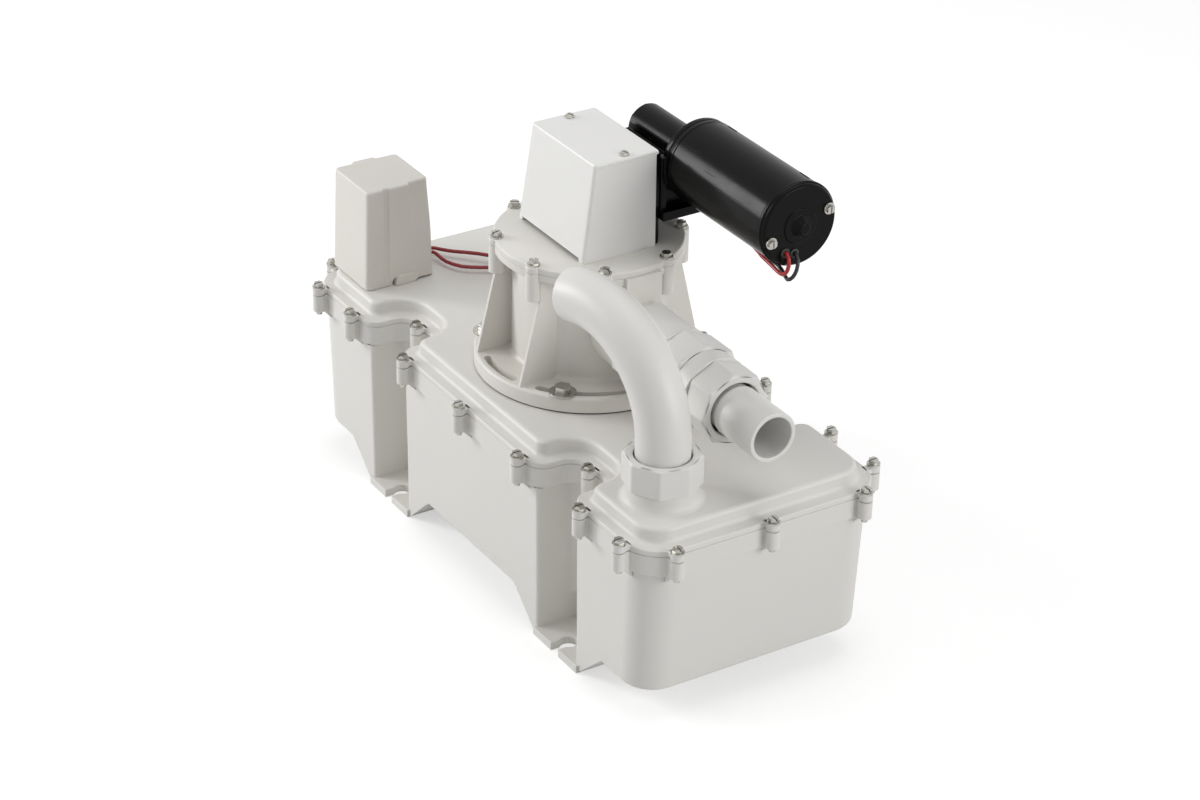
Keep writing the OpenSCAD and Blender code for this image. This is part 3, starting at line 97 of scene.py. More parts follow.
class Finish:
    """A procedural material around one Principled shader."""

    def __init__(self, name, color, roughness, **fixed):
        self.material = bpy.data.materials.new(name)
        self.material.use_nodes = True
        self.tree = self.material.node_tree
        self.shader = self.tree.nodes["Principled BSDF"]
        self.color = color
        self.shader.inputs["Base Color"].default_value = (*color, 1)
        self.shader.inputs["Roughness"].default_value = roughness
        for socket, value in fixed.items():
            self.shader.inputs[socket.replace("_", " ")].default_value = value
        self.place = self.node("ShaderNodeTexCoord", {}, {}, "Object")

    def node(self, kind, settings, inputs, output=0):
        """Adds a node, sets it up and fills its inputs with values or links."""
        made = self.tree.nodes.new(kind)
        for key, value in settings.items():
            setattr(made, key, value)
        for key, value in inputs.items():
            self.plug(made.inputs[key], value)
        return Signal(self, made.outputs[output])

    def plug(self, socket, value):
        if isinstance(value, Signal):
            self.tree.links.new(value.socket, socket)
        else:
            socket.default_value = value

    def noise(self, size, detail=2, rough=0.5, stretch=None):
        """Noise whose features are about size metres across."""
        place = self.place
        if stretch:
            place = self.node("ShaderNodeMapping", {}, {"Vector": place, "Scale": stretch})
        return self.node("ShaderNodeTexNoise", {}, {"Vector": place, "Scale": 1 / size, "Detail": detail,
                                                    "Roughness": rough})

    def tint(self, amount, color, under=None):
        """Mixes a color over the base by amount."""
        base = under or (*self.color, 1)
        return self.node("ShaderNodeMix", {"data_type": "RGBA"}, {0: amount, 6: base, 7: (*color, 1)}, 2)

    def bump(self, height, depth, strength, under=None):
        """A normal from height, depth metres deep, on top of another normal if given."""
        inputs = {"Height": height, "Distance": depth, "Strength": strength}
        if under:
            inputs["Normal"] = under
        return self.node("ShaderNodeBump", {}, inputs)

    def set(self, socket, value):
        self.plug(self.shader.inputs[socket], value)


def moulded_plastic(name, color, roughness, grain=0.0007):
    """White moulded plastic with a fine spark texture, faint clouding and a little settled dust."""
    f = Finish(name, color, roughness, Specular_IOR_Level=0.45)
    cloud = f.noise(0.09, 3)
    speck = f.noise(0.004, 4, 0.6).ramp(0.55, 0.8)
    darker = tuple(c * 0.93 for c in color)
    yellow = (color[0] * 0.97, color[1] * 0.95, color[2] * 0.9)
    body = f.tint(cloud.ramp(0.35, 0.75) * 0.18, darker)
    f.set("Base Color", f.tint(speck * 0.06, yellow, body))
    fine = f.noise(grain, 3, 0.6)
    f.set("Roughness", cloud * 0.1 + fine * 0.12 + (roughness - 0.11))
    wavy = f.bump(f.noise(0.03, 2), 0.0004, 0.25)
    f.set("Normal", f.bump(fine, 0.00003, 0.8, wavy))
    return f.material


def pipe_plastic(name, color, roughness):
    """Drawn pipe and moulded fittings: smoother, with faint clouding and scuffs."""
    f = Finish(name, color, roughness, Specular_IOR_Level=0.5)
    cloud = f.noise(0.05, 3)
    scuff = f.noise(0.006, 5, 0.65).ramp(0.6, 0.75)
    body = f.tint(cloud.ramp(0.4, 0.8) * 0.2, tuple(c * 0.94 for c in color))
    f.set("Base Color", f.tint(scuff * 0.12, tuple(c * 0.85 for c in color), body))
    fine = f.noise(0.0006, 2)
    f.set("Roughness", scuff * 0.14 + cloud * 0.08 + (roughness - 0.04))
    f.set("Normal", f.bump(fine, 0.00001, 0.6, f.bump(cloud, 0.0006, 0.2)))
    return f.material


def black_paint(name):
    """Gloss black enamel on pressed steel, with orange peel, fine dust and hairline scratches."""
    f = Finish(name, (0.004, 0.004, 0.0038), 0.26, Specular_IOR_Level=0.09)
    dust = f.noise(0.0012, 4, 0.7).ramp(0.62, 0.8) * f.noise(0.03, 2).ramp(0.4, 0.7)
    scratch = f.noise(0.0016, 2, 0.5, (0.05, 1.6, 1.0)).ramp(0.68, 0.74)
    f.set("Base Color", f.tint(dust * 0.18 + scratch * 0.08, (0.06, 0.06, 0.058)))
    f.set("Roughness", f.noise(0.012, 3) * 0.12 + dust * 0.3 + scratch * 0.15 + 0.17)
    f.set("Normal", f.bump(f.noise(0.0022, 2), 0.00005, 0.25))
    return f.material


def metal(name, color, roughness, grain=0.0006, wear=0.3, stretch=None):
    """Bare metal with a ground or plated surface, finger marks and dull patches."""
    f = Finish(name, color, roughness, Metallic=1.0)
    patch = f.noise(0.005, 4, 0.6)
    fine = f.noise(grain, 3, 0.6, stretch)
    f.set("Base Color", f.tint(patch.ramp(0.45, 0.75) * wear, tuple(c * 0.55 for c in color)))
    f.set("Roughness", patch * 0.18 + fine * 0.14 + (roughness - 0.14))
    f.set("Normal", f.bump(fine, 0.00003, 0.5))
    return f.material


def dull(name, color, roughness=0.6):
    """Rubber, wire sleeves and moulded inner parts."""
    f = Finish(name, color, roughness)
    cloud = f.noise(0.006, 4, 0.6)
    fine = f.noise(0.0005, 3, 0.6)
    pale = tuple(min(1.0, c * 1.5 + 0.01) for c in color)
    f.set("Base Color", f.tint(cloud.ramp(0.45, 0.8) * 0.4, pale))
    f.set("Roughness", fine * 0.15 + cloud * 0.12 + (roughness - 0.13))
    f.set("Normal", f.bump(fine, 0.00004, 0.7))
    return f.material


FINISHES = {
    "white_tank": moulded_plastic("white_tank", (0.765, 0.750, 0.715), 0.42),
    "white_pump": moulded_plastic("white_pump", (0.770, 0.750, 0.705), 0.40, 0.0006),
    "white_switch": moulded_plastic("white_switch", (0.765, 0.740, 0.690), 0.5, 0.0005),
    "white_cover": pipe_plastic("white_cover", (0.85, 0.845, 0.825), 0.32),
    "white_pvc": pipe_plastic("white_pvc", (0.770, 0.760, 0.735), 0.42),
    "black_paint": black_paint("black_paint"),
    "screw_steel": metal("screw_steel", (0.46, 0.45, 0.42), 0.22),
    "shaft_steel": metal("shaft_steel", (0.55, 0.55, 0.55), 0.25),
    "rubber_black": dull("rubber_black", (0.02, 0.02, 0.02)),
    "rod_alloy": metal("rod_alloy", (0.6, 0.6, 0.62), 0.45, 0.001, 0.2),
    "nylon": dull("nylon", (0.66, 0.6, 0.47), 0.45),
    "bronze": metal("bronze", (0.5, 0.32, 0.12), 0.35),
    "brass": metal("brass", (0.7, 0.55, 0.26), 0.3),
    "black_plastic": dull("black_plastic", (0.022, 0.022, 0.024), 0.45),
    "copper_winding": metal("copper_winding", (0.62, 0.28, 0.12), 0.35, 0.0009, 0.4, (0.1, 1, 1)),
    "magnet": dull("magnet", (0.06, 0.058, 0.056), 0.7),
    "wire_dark_red": dull("wire_dark_red", (0.27, 0.020, 0.026), 0.35),
    "wire_red": dull("wire_red", (0.42, 0.012, 0.014), 0.33),
    "wire_black": dull("wire_black", (0.012, 0.012, 0.012), 0.38),
}


# Sizes in millimetres, angles in degrees

SHARP_FROM, BEVEL_FROM = 50, 35
OCTAGON_CRISPNESS = 180
TANK_L, TANK_W = 494, 205
TANK_LOW, RIM_LOW, TANK_TOP = 25, 126, 142
SEAM, LID_LOW, FLANGE_TOP, BOSS_TOP, DECK = 142.15, 142.8, 146.6, 148.1, 158
RECESS_X, RECESS_Y, RECESS_HALF = 125, 68, 23
CORNER_R, RIM_TURN, WALL_TURN, WALL_HOLLOW = 30, 13.5, 3.2, 7
BOSS_R, BOSS_OUT, BOSS_WEB, BOSS_REACH = 5, 5.6, 3.5, 9.4
SIDE_SCREWS, END_SCREW_Y = (84.5, 169.5, 221.6), 79.7
INLET = (196, -57)
PUMP_Y, RING_LOW, RING_TOP, RIM_TOP, PLATE_TOP = 3, 159, 171, 260, 265
PLATE_R, TOP_BOSS_R, SCREW_CIRCLE, FIRST_SCREW = 71, 6, 68.8, 22.5
SLOT_R, SLOT_HALF, SLOT_FLOOR = 77.6, 3, 164
OUTLET = (PUMP_Y, 210)
# Slots in the pump's ring: heading of the middle and half the length, both as angles
SLOTS = [(270, 16), (90, 16), (180, 13), (45, 15), (135, 15), (225, 15), (336, 37)]
SWITCH_X, SWITCH_Y, SWITCH_H = -207, -58, 84.5
COVER_X, COVER_H = -1.5, 75.5
TOP_STEPS = (20, 40, 60, 90)


# Shapes

def polar(radius, angle):
    """Point at an angle in degrees."""
    return radius * math.cos(math.radians(angle)), radius * math.sin(math.radians(angle))


def spin(angle):
    """Turn about world Z by an angle in degrees."""
    return Matrix.Rotation(math.radians(angle), 4, "Z")


def bend(angle):
    """How far a quarter round of radius 1 has gone along its tangent and away from it, at an angle in degrees."""
    return math.sin(math.radians(angle)), 1 - math.cos(math.radians(angle))


def arc(cx, cy, radius, start, end, steps=6):
    """Points along an arc, angles in degrees."""
    angles = [math.radians(start + (end - start) * i / steps) for i in range(steps + 1)]
    return [(cx + radius * math.cos(a), cy + radius * math.sin(a)) for a in angles]


def blend(low, high, x):
    """0 below low, 1 above high, smooth between."""
    t = min(1.0, max(0.0, (x - low) / (high - low)))
    return t * t * (3 - 2 * t)


def round_edges(part, width, clamp=False):
    """Joined points, a small rounding of the sharp edges, width metres wide, and even shading."""
    for face in part.data.polygons:
        face.use_smooth = True
    weld = part.modifiers.new("weld", "WELD")
    weld.merge_threshold = 0.000002
    if width:
        bevel = part.modifiers.new("edges", "BEVEL")
        bevel.limit_method, bevel.angle_limit = "ANGLE", math.radians(BEVEL_FROM)
        bevel.width, bevel.segments = width, 2
        bevel.use_clamp_overlap = clamp
        bevel.miter_outer = "MITER_ARC"
    normals = part.modifiers.new("normals", "WEIGHTED_NORMAL")
    normals.keep_sharp = not width
    normals.weight = 50


class Form:
    """Closed surfaces gathered into one piece."""

    def __init__(self):
        self.points, self.faces = [], []

    def loft(self, rings, wrap=False):
        """Skin over rings of equal length, with a cap on each end or wrapped round to its start."""
        first, count, layers = len(self.points), len(rings[0]), len(rings)
        for ring in rings:
            self.points += [tuple(p) for p in ring]
        for j in range(layers if wrap else layers - 1):
            for i in range(count):
                a, b = first + j * count, first + (j + 1) % layers * count
                k = (i + 1) % count
                self.faces.append((a + i, a + k, b + k, b + i))
        if not wrap:
            self.faces.append(tuple(range(first + count - 1, first - 1, -1)))
            self.faces.append(tuple(first + (layers - 1) * count + i for i in range(count)))

    def prism(self, outline, low, high, place):
        """An upright slice, from low to high, moved by place."""
        self.loft([[place @ Vector((x, y, z)) for x, y in outline] for z in (low, high)])

    def make(self, name, finish, stands_for, body="base", edge=0.0):
        """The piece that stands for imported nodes; without a rounding of its edges, its steep corners stay sharp."""
        mesh = bpy.data.meshes.new(name)
        mesh.from_pydata([Vector(p) * MM for p in self.points], [], self.faces)
        work = bmesh.new()
        work.from_mesh(mesh)
        bmesh.ops.recalc_face_normals(work, faces=work.faces)
        work.to_mesh(mesh)
        work.free()
        mesh.materials.append(FINISHES[finish])
        if not edge:
            mesh.set_sharp_from_angle(angle=math.radians(SHARP_FROM))
        part = bpy.data.objects.new(name, mesh)
        scene.collection.objects.link(part)
        round_edges(part, edge * MM)
        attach(part, body)
        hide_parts(*stands_for)


def box_outline(x0, x1, y0, y1, radius):
    """Rounded rectangle."""
    return (arc(x1 - radius, y1 - radius, radius, 0, 90) + arc(x0 + radius, y1 - radius, radius, 90, 180)
            + arc(x0 + radius, y0 + radius, radius, 180, 270) + arc(x1 - radius, y0 + radius, radius, 270, 360))


def along_x(x, y, z):
    """Turns local Z to run along world X from a point."""
    return Matrix.Translation((x, y, z)) @ Matrix(((0, 0, 1, 0), (1, 0, 0, 0), (0, 1, 0, 0), (0, 0, 0, 1)))


def turning(form, place, profile, corner=0.0, wrap=False, count=128):
    """Rings about local Z; a row of profile is (radius, height) and a third value of 8 makes it octagonal."""
    rings = []
    for row in profile:
        radius, height = row[:2]
        ring = []
        for i in range(count):
            angle = 2 * math.pi * i / count + math.radians(corner)
            reach = radius
            if len(row) > 2:
                sides = [math.cos(angle - math.radians(corner + 22.5 + 45 * k)) for k in range(8)]
                total = sum(s ** OCTAGON_CRISPNESS for s in sides if s > 0)
                reach = radius * math.cos(math.pi / 8) / total ** (1 / OCTAGON_CRISPNESS)
            ring.append(place @ Vector((reach * math.cos(angle), reach * math.sin(angle), height)))
        rings.append(ring)
    form.loft(rings, wrap)


# Tank and lid

def rim_outline(side, end, recess, sharp=False):
    """Plan of the rim, moved inward by side along the long walls, end at the ends and recess in the recesses."""
    wide, deep = TANK_L / 2 - end, TANK_W / 2 - side
    corner, turn = max(CORNER_R - side, 4), WALL_TURN if sharp else max(RIM_TURN - recess, 8)
    near, far, back = RECESS_X - RECESS_HALF - recess, RECESS_X + RECESS_HALF + recess, RECESS_Y - recess
    hollow = WALL_HOLLOW if sharp else min(RIM_TURN + recess, deep - back - turn - 0.5)
    quarter = [(wide, 0)] + arc(wide - corner, deep - corner, corner, 0, 90, 8)
    quarter += arc(far + turn, deep - turn, turn, 90, 180) + arc(far - hollow, back + hollow, hollow, 0, -90)
    quarter += arc(near + hollow, back + hollow, hollow, -90, -180) + arc(near - turn, deep - turn, turn, 0, 90)
    quarter += [(0, deep)]
    half = quarter[:-1] + [(-x, y) for x, y in reversed(quarter)][:-1]
    return half + [(-x, -y) for x, y in half]


def layer(side, end, recess, z, sharp=False):
    """The rim's plan at a height; sharp gives the recesses of the walls below the rim their tight corners."""
    return [(x, y, z) for x, y in rim_outline(side, end, recess, sharp)]


def rim_screw_places():
    """Middle of each rim screw, turned so that +X points at the tank."""
    side_y, end_x = TANK_W / 2 + BOSS_OUT, TANK_L / 2 + BOSS_OUT - 0.7
    spots = [(0, side_y, -90), (end_x, 0, 180), (-end_x, 0, 0), (0, -side_y, 90)]
    for sx in (-1, 1):
        for sy in (-1, 1):
            spots += [(sx * x, sy * side_y, -90 * sy) for x in SIDE_SCREWS]
            spots += [(sx * (RECESS_X + 0.7), sy * (RECESS_Y + BOSS_OUT), -90 * sy)]
            spots += [(sx * end_x, sy * END_SCREW_Y, 90 + 90 * sx)]
    return [Matrix.Translation((x, y, 0)) @ spin(angle) for x, y, angle in spots]


def boss_outline(reach):
    """Plan of a screw boss with the web that joins it to the rim."""
    meet = math.degrees(math.asin(BOSS_WEB / BOSS_R))
    return [(reach, BOSS_WEB)] + arc(0, 0, BOSS_R, meet, 360 - meet, 16) + [(reach, -BOSS_WEB)]


def tank_walls():
    """Tank body: tapering walls with a rounded bottom, the thick rim, the screw bosses and the feet."""
    form = Form()
    rings = []
    for angle in range(0, 91, 18):
        along, away = bend(angle)
        inset = 4.5 * (1 - along)
        rings.append((4.5 + inset, 8.5 + inset, 3.2 + inset, TANK_LOW + 4.5 * away, True))
    rings += [(3.2, 3.2, 3.2, RIM_LOW - 1.2, True), (2.9, 2.9, 3.0, RIM_LOW - 0.3, True),
              (2.2, 2.2, 2.6, RIM_LOW, True), (0.8, 0.8, 0.8, RIM_LOW), (0.2, 0.2, 0.2, RIM_LOW + 0.3),
              (0, 0, 0, RIM_LOW + 1), (0, 0, 0, TANK_TOP - 0.7), (0.2, 0.2, 0.2, TANK_TOP - 0.2),
              (0.5, 0.5, 0.5, TANK_TOP), (7.2, 7.2, 7.2, TANK_TOP), (7.2, 7.2, 7.2, RIM_LOW),
              (8.5, 12.5, 7.2, TANK_LOW + 4)]
    form.loft([layer(*ring) for ring in rings])
    for place in rim_screw_places():
        form.prism(boss_outline(BOSS_REACH), RIM_LOW + 2, TANK_TOP, place)
        wedge = [(1, RIM_LOW + 3), (BOSS_REACH, RIM_LOW + 3), (BOSS_REACH, RIM_LOW - 6)]
        form.loft([[place @ Vector((x, y, z)) for x, z in wedge] for y in (BOSS_WEB, -BOSS_WEB)])
    for sx in (-1, 1):
        for sy in (-1, 1):
            foot(form, Matrix.Diagonal((sx, sy, 1, 1)))
    form.make("tank_body_moulding", "white_tank", ["tank_body"], edge=0.5)


def foot(form, flip):
    """A slotted plate in the recess between two sloping gussets that carry the walls down to the floor."""
    middle, slot, head, key_y = RECESS_X + 1, 4.75, 7, 87.5
    left, right, back, front = middle - 30.5, middle + 30.5, 58, 100
    meet = math.degrees(math.asin(slot / head))
    plate = [(left, back), (right, back), (right, front), (middle + slot, front)]
    plate += [(middle + x, key_y + y) for x, y in arc(0, 0, head, 90 - meet, -270 + meet, 20)]
    plate += [(middle - slot, front), (left, front)]
    form.prism(plate, 0, 6.5, flip)
    rear, above_floor, inside_tank = 60, 0.5, 40
    wall_back, wall_sides, turn_from = 64.79, ((98.79, -1), (151.21, 1)), 94.82
    form.prism([(left, rear), (right, rear), (right, wall_back), (left, wall_back)], above_floor, inside_tank, flip)
    steps = [(rear, 0)]
    for angle in range(0, 91, 15):
        along, away = bend(angle)
        steps.append((turn_from + WALL_TURN * along, WALL_TURN * away))
    for face, out in wall_sides:
        rings = []
        for y, away in steps:
            inner = face + out * away
            toe = inner + out * max(1.6, 30.5 - out * (inner - middle))
            side = [(inner, above_floor), (toe, above_floor), (middle + out * 58, TANK_LOW + 0.2),
                    (middle + out * 66, 31), (middle + out * 66, inside_tank), (inner, inside_tank)]
            rings.append([flip @ Vector((x, y, z)) for x, z in side])
        form.loft(rings)


def lid():
    """Tank lid: flange with a seam lip, raised deck, screw bosses and the flared inlet spigot."""
    form = Form()
    rings = [(13.5, 15, 13.5, 154), (13.5, 15, 13.5, LID_LOW), (1.3, 1.3, 1.3, LID_LOW), (1.2, 1.2, 1.2, SEAM),
             (0.5, 0.5, 0.5, SEAM), (0.15, 0.15, 0.15, SEAM + 0.2), (0, 0, 0, LID_LOW), (0, 0, 0, FLANGE_TOP - 1),
             (0.3, 0.3, 0.3, FLANGE_TOP - 0.3), (1.0, 1.0, 1.0, FLANGE_TOP), (6.8, 8.3, 6.8, FLANGE_TOP),
             (7.8, 9.3, 7.8, FLANGE_TOP + 0.2), (8.7, 10.2, 8.7, FLANGE_TOP + 0.8), (9.3, 10.8, 9.3, FLANGE_TOP + 1.8),
             (9.6, 11.1, 9.6, FLANGE_TOP + 3.2)]
    for angle in range(0, 91, 15):
        along, away = bend(angle)
        rings.append((10 + 3.6 * away, 11.5 + 3.6 * away, 10 + 3.6 * away, DECK - 3.6 * (1 - along)))
    form.loft([layer(*ring) for ring in rings])
    for place in rim_screw_places():
        form.prism(boss_outline(BOSS_OUT + 3), LID_LOW, FLANGE_TOP, place)
        turning(form, place, [(BOSS_R, LID_LOW + 0.2), (BOSS_R, BOSS_TOP)], count=32)
    bore, throat, spigot = 19.95, 26, 24.4
    profile = [(bore, DECK - 2), (31.6, DECK - 2), (31.2, DECK)]
    for angle in range(15, 91, 15):
        along, away = bend(angle)
        profile.append((throat + 5.2 * (1 - along), DECK + 8 * away))
    profile += [(throat, 169.2), (25.5, 170), (spigot, 170), (spigot, 186), (bore, 186)]
    turning(form, Matrix.Translation((*INLET, 0)), profile, wrap=True, count=64)
    form.make("tank_lid_moulding", "white_tank", ["tank_lid"], edge=0.4)


# Vacuum switch cover

def switch_ring(inset, z, lift=0.0):
    """The switch cover's section at a height: groove and scoop on its front, wire notches raised by lift."""
    up = (z - DECK) / SWITCH_H
    cx, cy = SWITCH_X + 1.8 * up, SWITCH_Y - up
    half_x, half_y = 28.5 - 0.75 * up - inset, 30 - 2.5 * up - inset
    x1, y0, y1 = cx + half_x, cy - half_y, cy + half_y
    groove = (1.4 + 1.05 * up) * blend(DECK, 166.5, z)
    scoop = 3.6 * blend(196, 242, z)
    front = [(x1, -73), (x1 - 0.15 * groove, -72.2), (x1 - 0.85 * groove, -71.2), (x1 - groove, -70.4),
             (x1 - groove, -69), (x1 - 0.8 * groove, -68.3), (x1 - 0.1 * groove, -67.6), (x1, -66.9)]
    outline = [(x1, -60), (x1, -50.6), (x1 - 0.3 * scoop, -49.6), (x1 - 0.95 * scoop, -48.8), (x1 - scoop, -47),
               (x1 - scoop, -42)]
    corner = 4.0 - min(inset, 2.5)
    outline += [(px - scoop, py) for px, py in arc(x1 - corner, y1 - corner, corner, 0, 90)]
    ring = [(x, y, z) for x, y in front]
    ring += [(x1, y, z + rise * lift) for y, rise in ((-65.3, 0), (-65, 0.45), (-63.6, 0.7), (-62.4, 0.75), (-62.2, 0))]
    ring += [(x, y, z + 0.15 * lift * (y > -46)) for x, y in outline]
    for low, high in ((-206.5, -201.5), (-215.5, -210.5)):
        ring += [(high + 0.2, y1, z), (high, y1, z + lift), (low, y1, z + lift), (low - 0.2, y1, z)]
    outline = arc(cx - half_x + corner, y1 - corner, corner, 90, 180)
    outline += arc(cx - half_x + corner, y0 + corner, corner, 180, 270)
    outline += arc(x1 - corner, y0 + corner, corner, 270, 360)
    return ring + [(x, y, z) for x, y in outline]


def switch_cap():
    """Cover of the vacuum switch, hollow and open below, with its snap tab and the bulge on its left."""
    form = Form()
    rows = [(2.5, 240), (2.5, 228), (2.5, 212), (2.5, 196), (2.5, 169.4), (2.5, 168.6), (2.5, 158.1, 8),
            (0.3, 158.1, 8), (0, 158.5, 7.8), (0, 167), (0, 168.6), (0, 196), (0, 204), (0, 212), (0, 220),
            (0, 228), (0, 235), (0, 240.7)]
    rows += [(1.8 * away, 240.7 + 1.8 * along) for along, away in map(bend, TOP_STEPS)]
    form.loft([switch_ring(*row) for row in rows])
    tab = [(-63.5, 158.1), (-62.5, 163.5), (-59.5, 165.9), (-47, 165.9), (-43.5, 164), (-43, 161), (-46.5, 158.1)]
    form.loft([[(x, y, z) for y, z in tab] for x in (-182, -176.1)])
    bulge = [(0, 228.2), (0, 236), (0, 241.2), (0.4, 241.9), (1.0, 242.1)]
    form.loft([[(x, y, z) for x, y in box_outline(-236.4 + d, -226, -70 + d, -49 - d, 3 - d)] for d, z in bulge])
    form.make("switch_cover_moulding", "white_switch", ["switch_cover"], body="switch_cap", edge=0.5)


# Drive cover

def cover_ring(inset, z, lift=0.0, crease=0.0):
    """The drive cover's section at a height: its front bottom edge raised by lift, its right face let in by crease."""
    up = (z - PLATE_TOP) / COVER_H
    half = 45.5 - 1.5 * up - inset
    left, right, y0 = COVER_X - half, COVER_X + half, -30 + 10 * up + inset
    y1 = 32.4 - 0.3 * inset + 1.8 * (z > 337.65)
    soft = max(2.6 - inset, 0.8)
    ring = [(right - crease, y, z) for y in (y0 + soft + 6, 10, 31)]
    back = arc(right - 0.6, y1 - 0.6, 0.6, 0, 90, 3) + arc(left + 0.6, y1 - 0.6, 0.6, 90, 180, 3)
    ring += [(x, y, z) for x, y in back + arc(left + soft, y0 + soft, soft, 180, 270)]
    ring += [(COVER_X + x, y0, z + lift * (abs(x) < 39.5)) for x in (-39.7, -39.3, -20, 20, 39.3, 39.7)]
    return ring + [(x - crease * blend(315, 360, a), y, z)
                   for (x, y), a in zip(arc(right - soft, y0 + soft, soft, 270, 360), range(270, 361, 15))]


def drive_cap():
    """Drive cover: a tapered shell, open below, with a crease near its top and a lip over the bracket behind it."""
    form = Form()
    rows = [(2.5, 337.6), (2.5, 270), (2.5, PLATE_TOP, 3), (0.3, PLATE_TOP, 3), (0, PLATE_TOP + 0.4, 2.7), (0, 270),
            (0, 300), (0, 337.2), (0, 337.5, 0, 0.5), (0, 338.0, 0, 0.5), (0, 338.3), (0, 339.1)]
    rows += [(1.4 * away, 339.1 + 1.4 * along) for along, away in map(bend, TOP_STEPS)]
    form.loft([cover_ring(*row) for row in rows])
    form.make("drive_cover_shell", "white_cover", ["drive_cover"])


# Pump housing and top plate

def slot_at(angle):
    """Half width and floor height of the ring's slots at an angle."""
    for middle, half in SLOTS:
        away = abs((angle - middle + 180) % 360 - 180)
        past = math.radians(half - away) * SLOT_R
        if past > 0.02:
            return max(0.1, math.sqrt(max(0, SLOT_HALF ** 2 - max(0, SLOT_HALF - past) ** 2))), SLOT_FLOOR
    return 0.1, RING_TOP


def pump_angles():
    """Headings of the sections: even steps, and closer ones where a slot's end rounds."""
    angles = {3.0 * i for i in range(120)}
    for middle, half in SLOTS:
        for past in (0, 0.05, 0.4, 1.1, 2.0, 3.0):
            inner = half - math.degrees(past / SLOT_R)
            angles |= {round((middle + inner) % 360, 4), round((middle - inner) % 360, 4)}
    return sorted(angles)


def pump_section(angle):
    """Section of the housing in radius and height, all the way round."""
    half, low = slot_at(angle)
    ring_r, body, inside, seat, floor_top, tube_seat, tube_hole = 85, 57, 53, 62, 167, 20.1, 17.1
    steps = [bend(a) for a in range(0, 91, 15)]
    ring = [(tube_hole, RING_LOW), (ring_r - 0.4, RING_LOW), (ring_r, RING_LOW + 0.4)]
    ring += [(ring_r - 2.5 * away, RING_TOP - 2.5 * (1 - along)) for along, away in steps]
    ring += [(SLOT_R + half, RING_TOP), (SLOT_R + half, low), (SLOT_R - half, low), (SLOT_R - half, RING_TOP)]
    ring += [(body + 3.5 * (1 - along), RING_TOP + 3.5 * away) for along, away in steps]
    ring += [(body + 9 * away, 245 + 9 * along) for along, away in steps]
    ring += [(PLATE_R - 0.6, 254), (PLATE_R, 254.6), (PLATE_R, RIM_TOP - 0.4), (PLATE_R - 0.4, RIM_TOP)]
    ring += [(seat, RIM_TOP), (seat, 258), (inside, 258), (inside, floor_top)]
    return ring + [(tube_seat, floor_top), (tube_seat, 163), (tube_hole, 163)]


def pump_rib(form, place, x, inner, foot_end, top_end):
    """A tapered rib in a plane of constant x, from inner out towards -Y, between the ring and the rim."""
    rings, bottom, shoulder, top = [], RING_TOP - 1, 238, 255
    for across, inset in ((-1.5, 0.4), (-1.1, 0), (1.1, 0), (1.5, 0.4)):
        side = [(inner, bottom), (foot_end - inset, bottom), (foot_end - inset, RING_TOP),
                (top_end - inset, shoulder), (top_end - inset, top), (inner, top)]
        rings.append([place @ Vector((x + across, -y, z)) for y, z in side])
    form.loft(rings)


def pump():
    """Pump housing: ring with curved slots, body, rim, bosses, ribs, outlet and the block over it."""
    form, centre = Form(), Matrix.Translation((0, PUMP_Y, 0))
    rings = []
    for angle in pump_angles():
        rings.append([centre @ Vector((*polar(radius, angle), z)) for radius, z in pump_section(angle)])
    form.loft(rings, wrap=True)
    for k in range(8):
        spot = centre @ spin(FIRST_SCREW + 45 * k) @ Matrix.Translation((SCREW_CIRCLE, 0, 0))
        turning(form, spot, [(TOP_BOSS_R - 0.5, 237), (TOP_BOSS_R, 237.5), (TOP_BOSS_R, RIM_TOP)], count=32)
    for turn in (0, 180):
        for x in (-31, 31):
            pump_rib(form, centre @ spin(turn), x, inner=45, foot_end=77.8, top_end=61.5)
    for turn in (247.5, 292.5):
        pump_rib(form, centre @ spin(turn), 0, inner=54, foot_end=83.5, top_end=70)
    outlet = Matrix.Translation((0, *OUTLET)) @ Matrix.Rotation(math.radians(90), 4, "Y")
    turning(form, outlet, [(20, 50), (29, 50), (29, 78.6), (28.6, 79), (20.4, 79), (20, 78.6)], wrap=True, count=96)
    left, right, near, far, bottom = 53, 73, -10, 20, 234
    form.loft([[(left, near + d, z), (right - d, near + d, z), (right - d, far - d, z), (left, far - d, z)]
               for d, z in ((0.5, bottom), (0, bottom + 0.5), (0, RIM_TOP))])
    form.make("pump_housing_casting", "white_pump", ["pump_housing"])


def plate_outline(inset):
    """Plan of the pump's top plate: a disc with eight screw bosses on its edge."""
    disc, boss, circle = PLATE_R - inset, TOP_BOSS_R - inset, SCREW_CIRCLE
    reach = math.degrees(math.acos((disc ** 2 + circle ** 2 - boss ** 2) / (2 * disc * circle)))
    x, y = polar(disc, reach)
    meet = math.degrees(math.atan2(y, x - circle))
    points = []
    for k in range(8):
        middle = FIRST_SCREW + 45 * k
        points += arc(*polar(circle, middle), boss, middle - meet, middle + meet, 12)
        points += arc(0, 0, disc, middle + reach, middle + 45 - reach, 12)[1:-1]
    return [(x, y + PUMP_Y) for x, y in points]


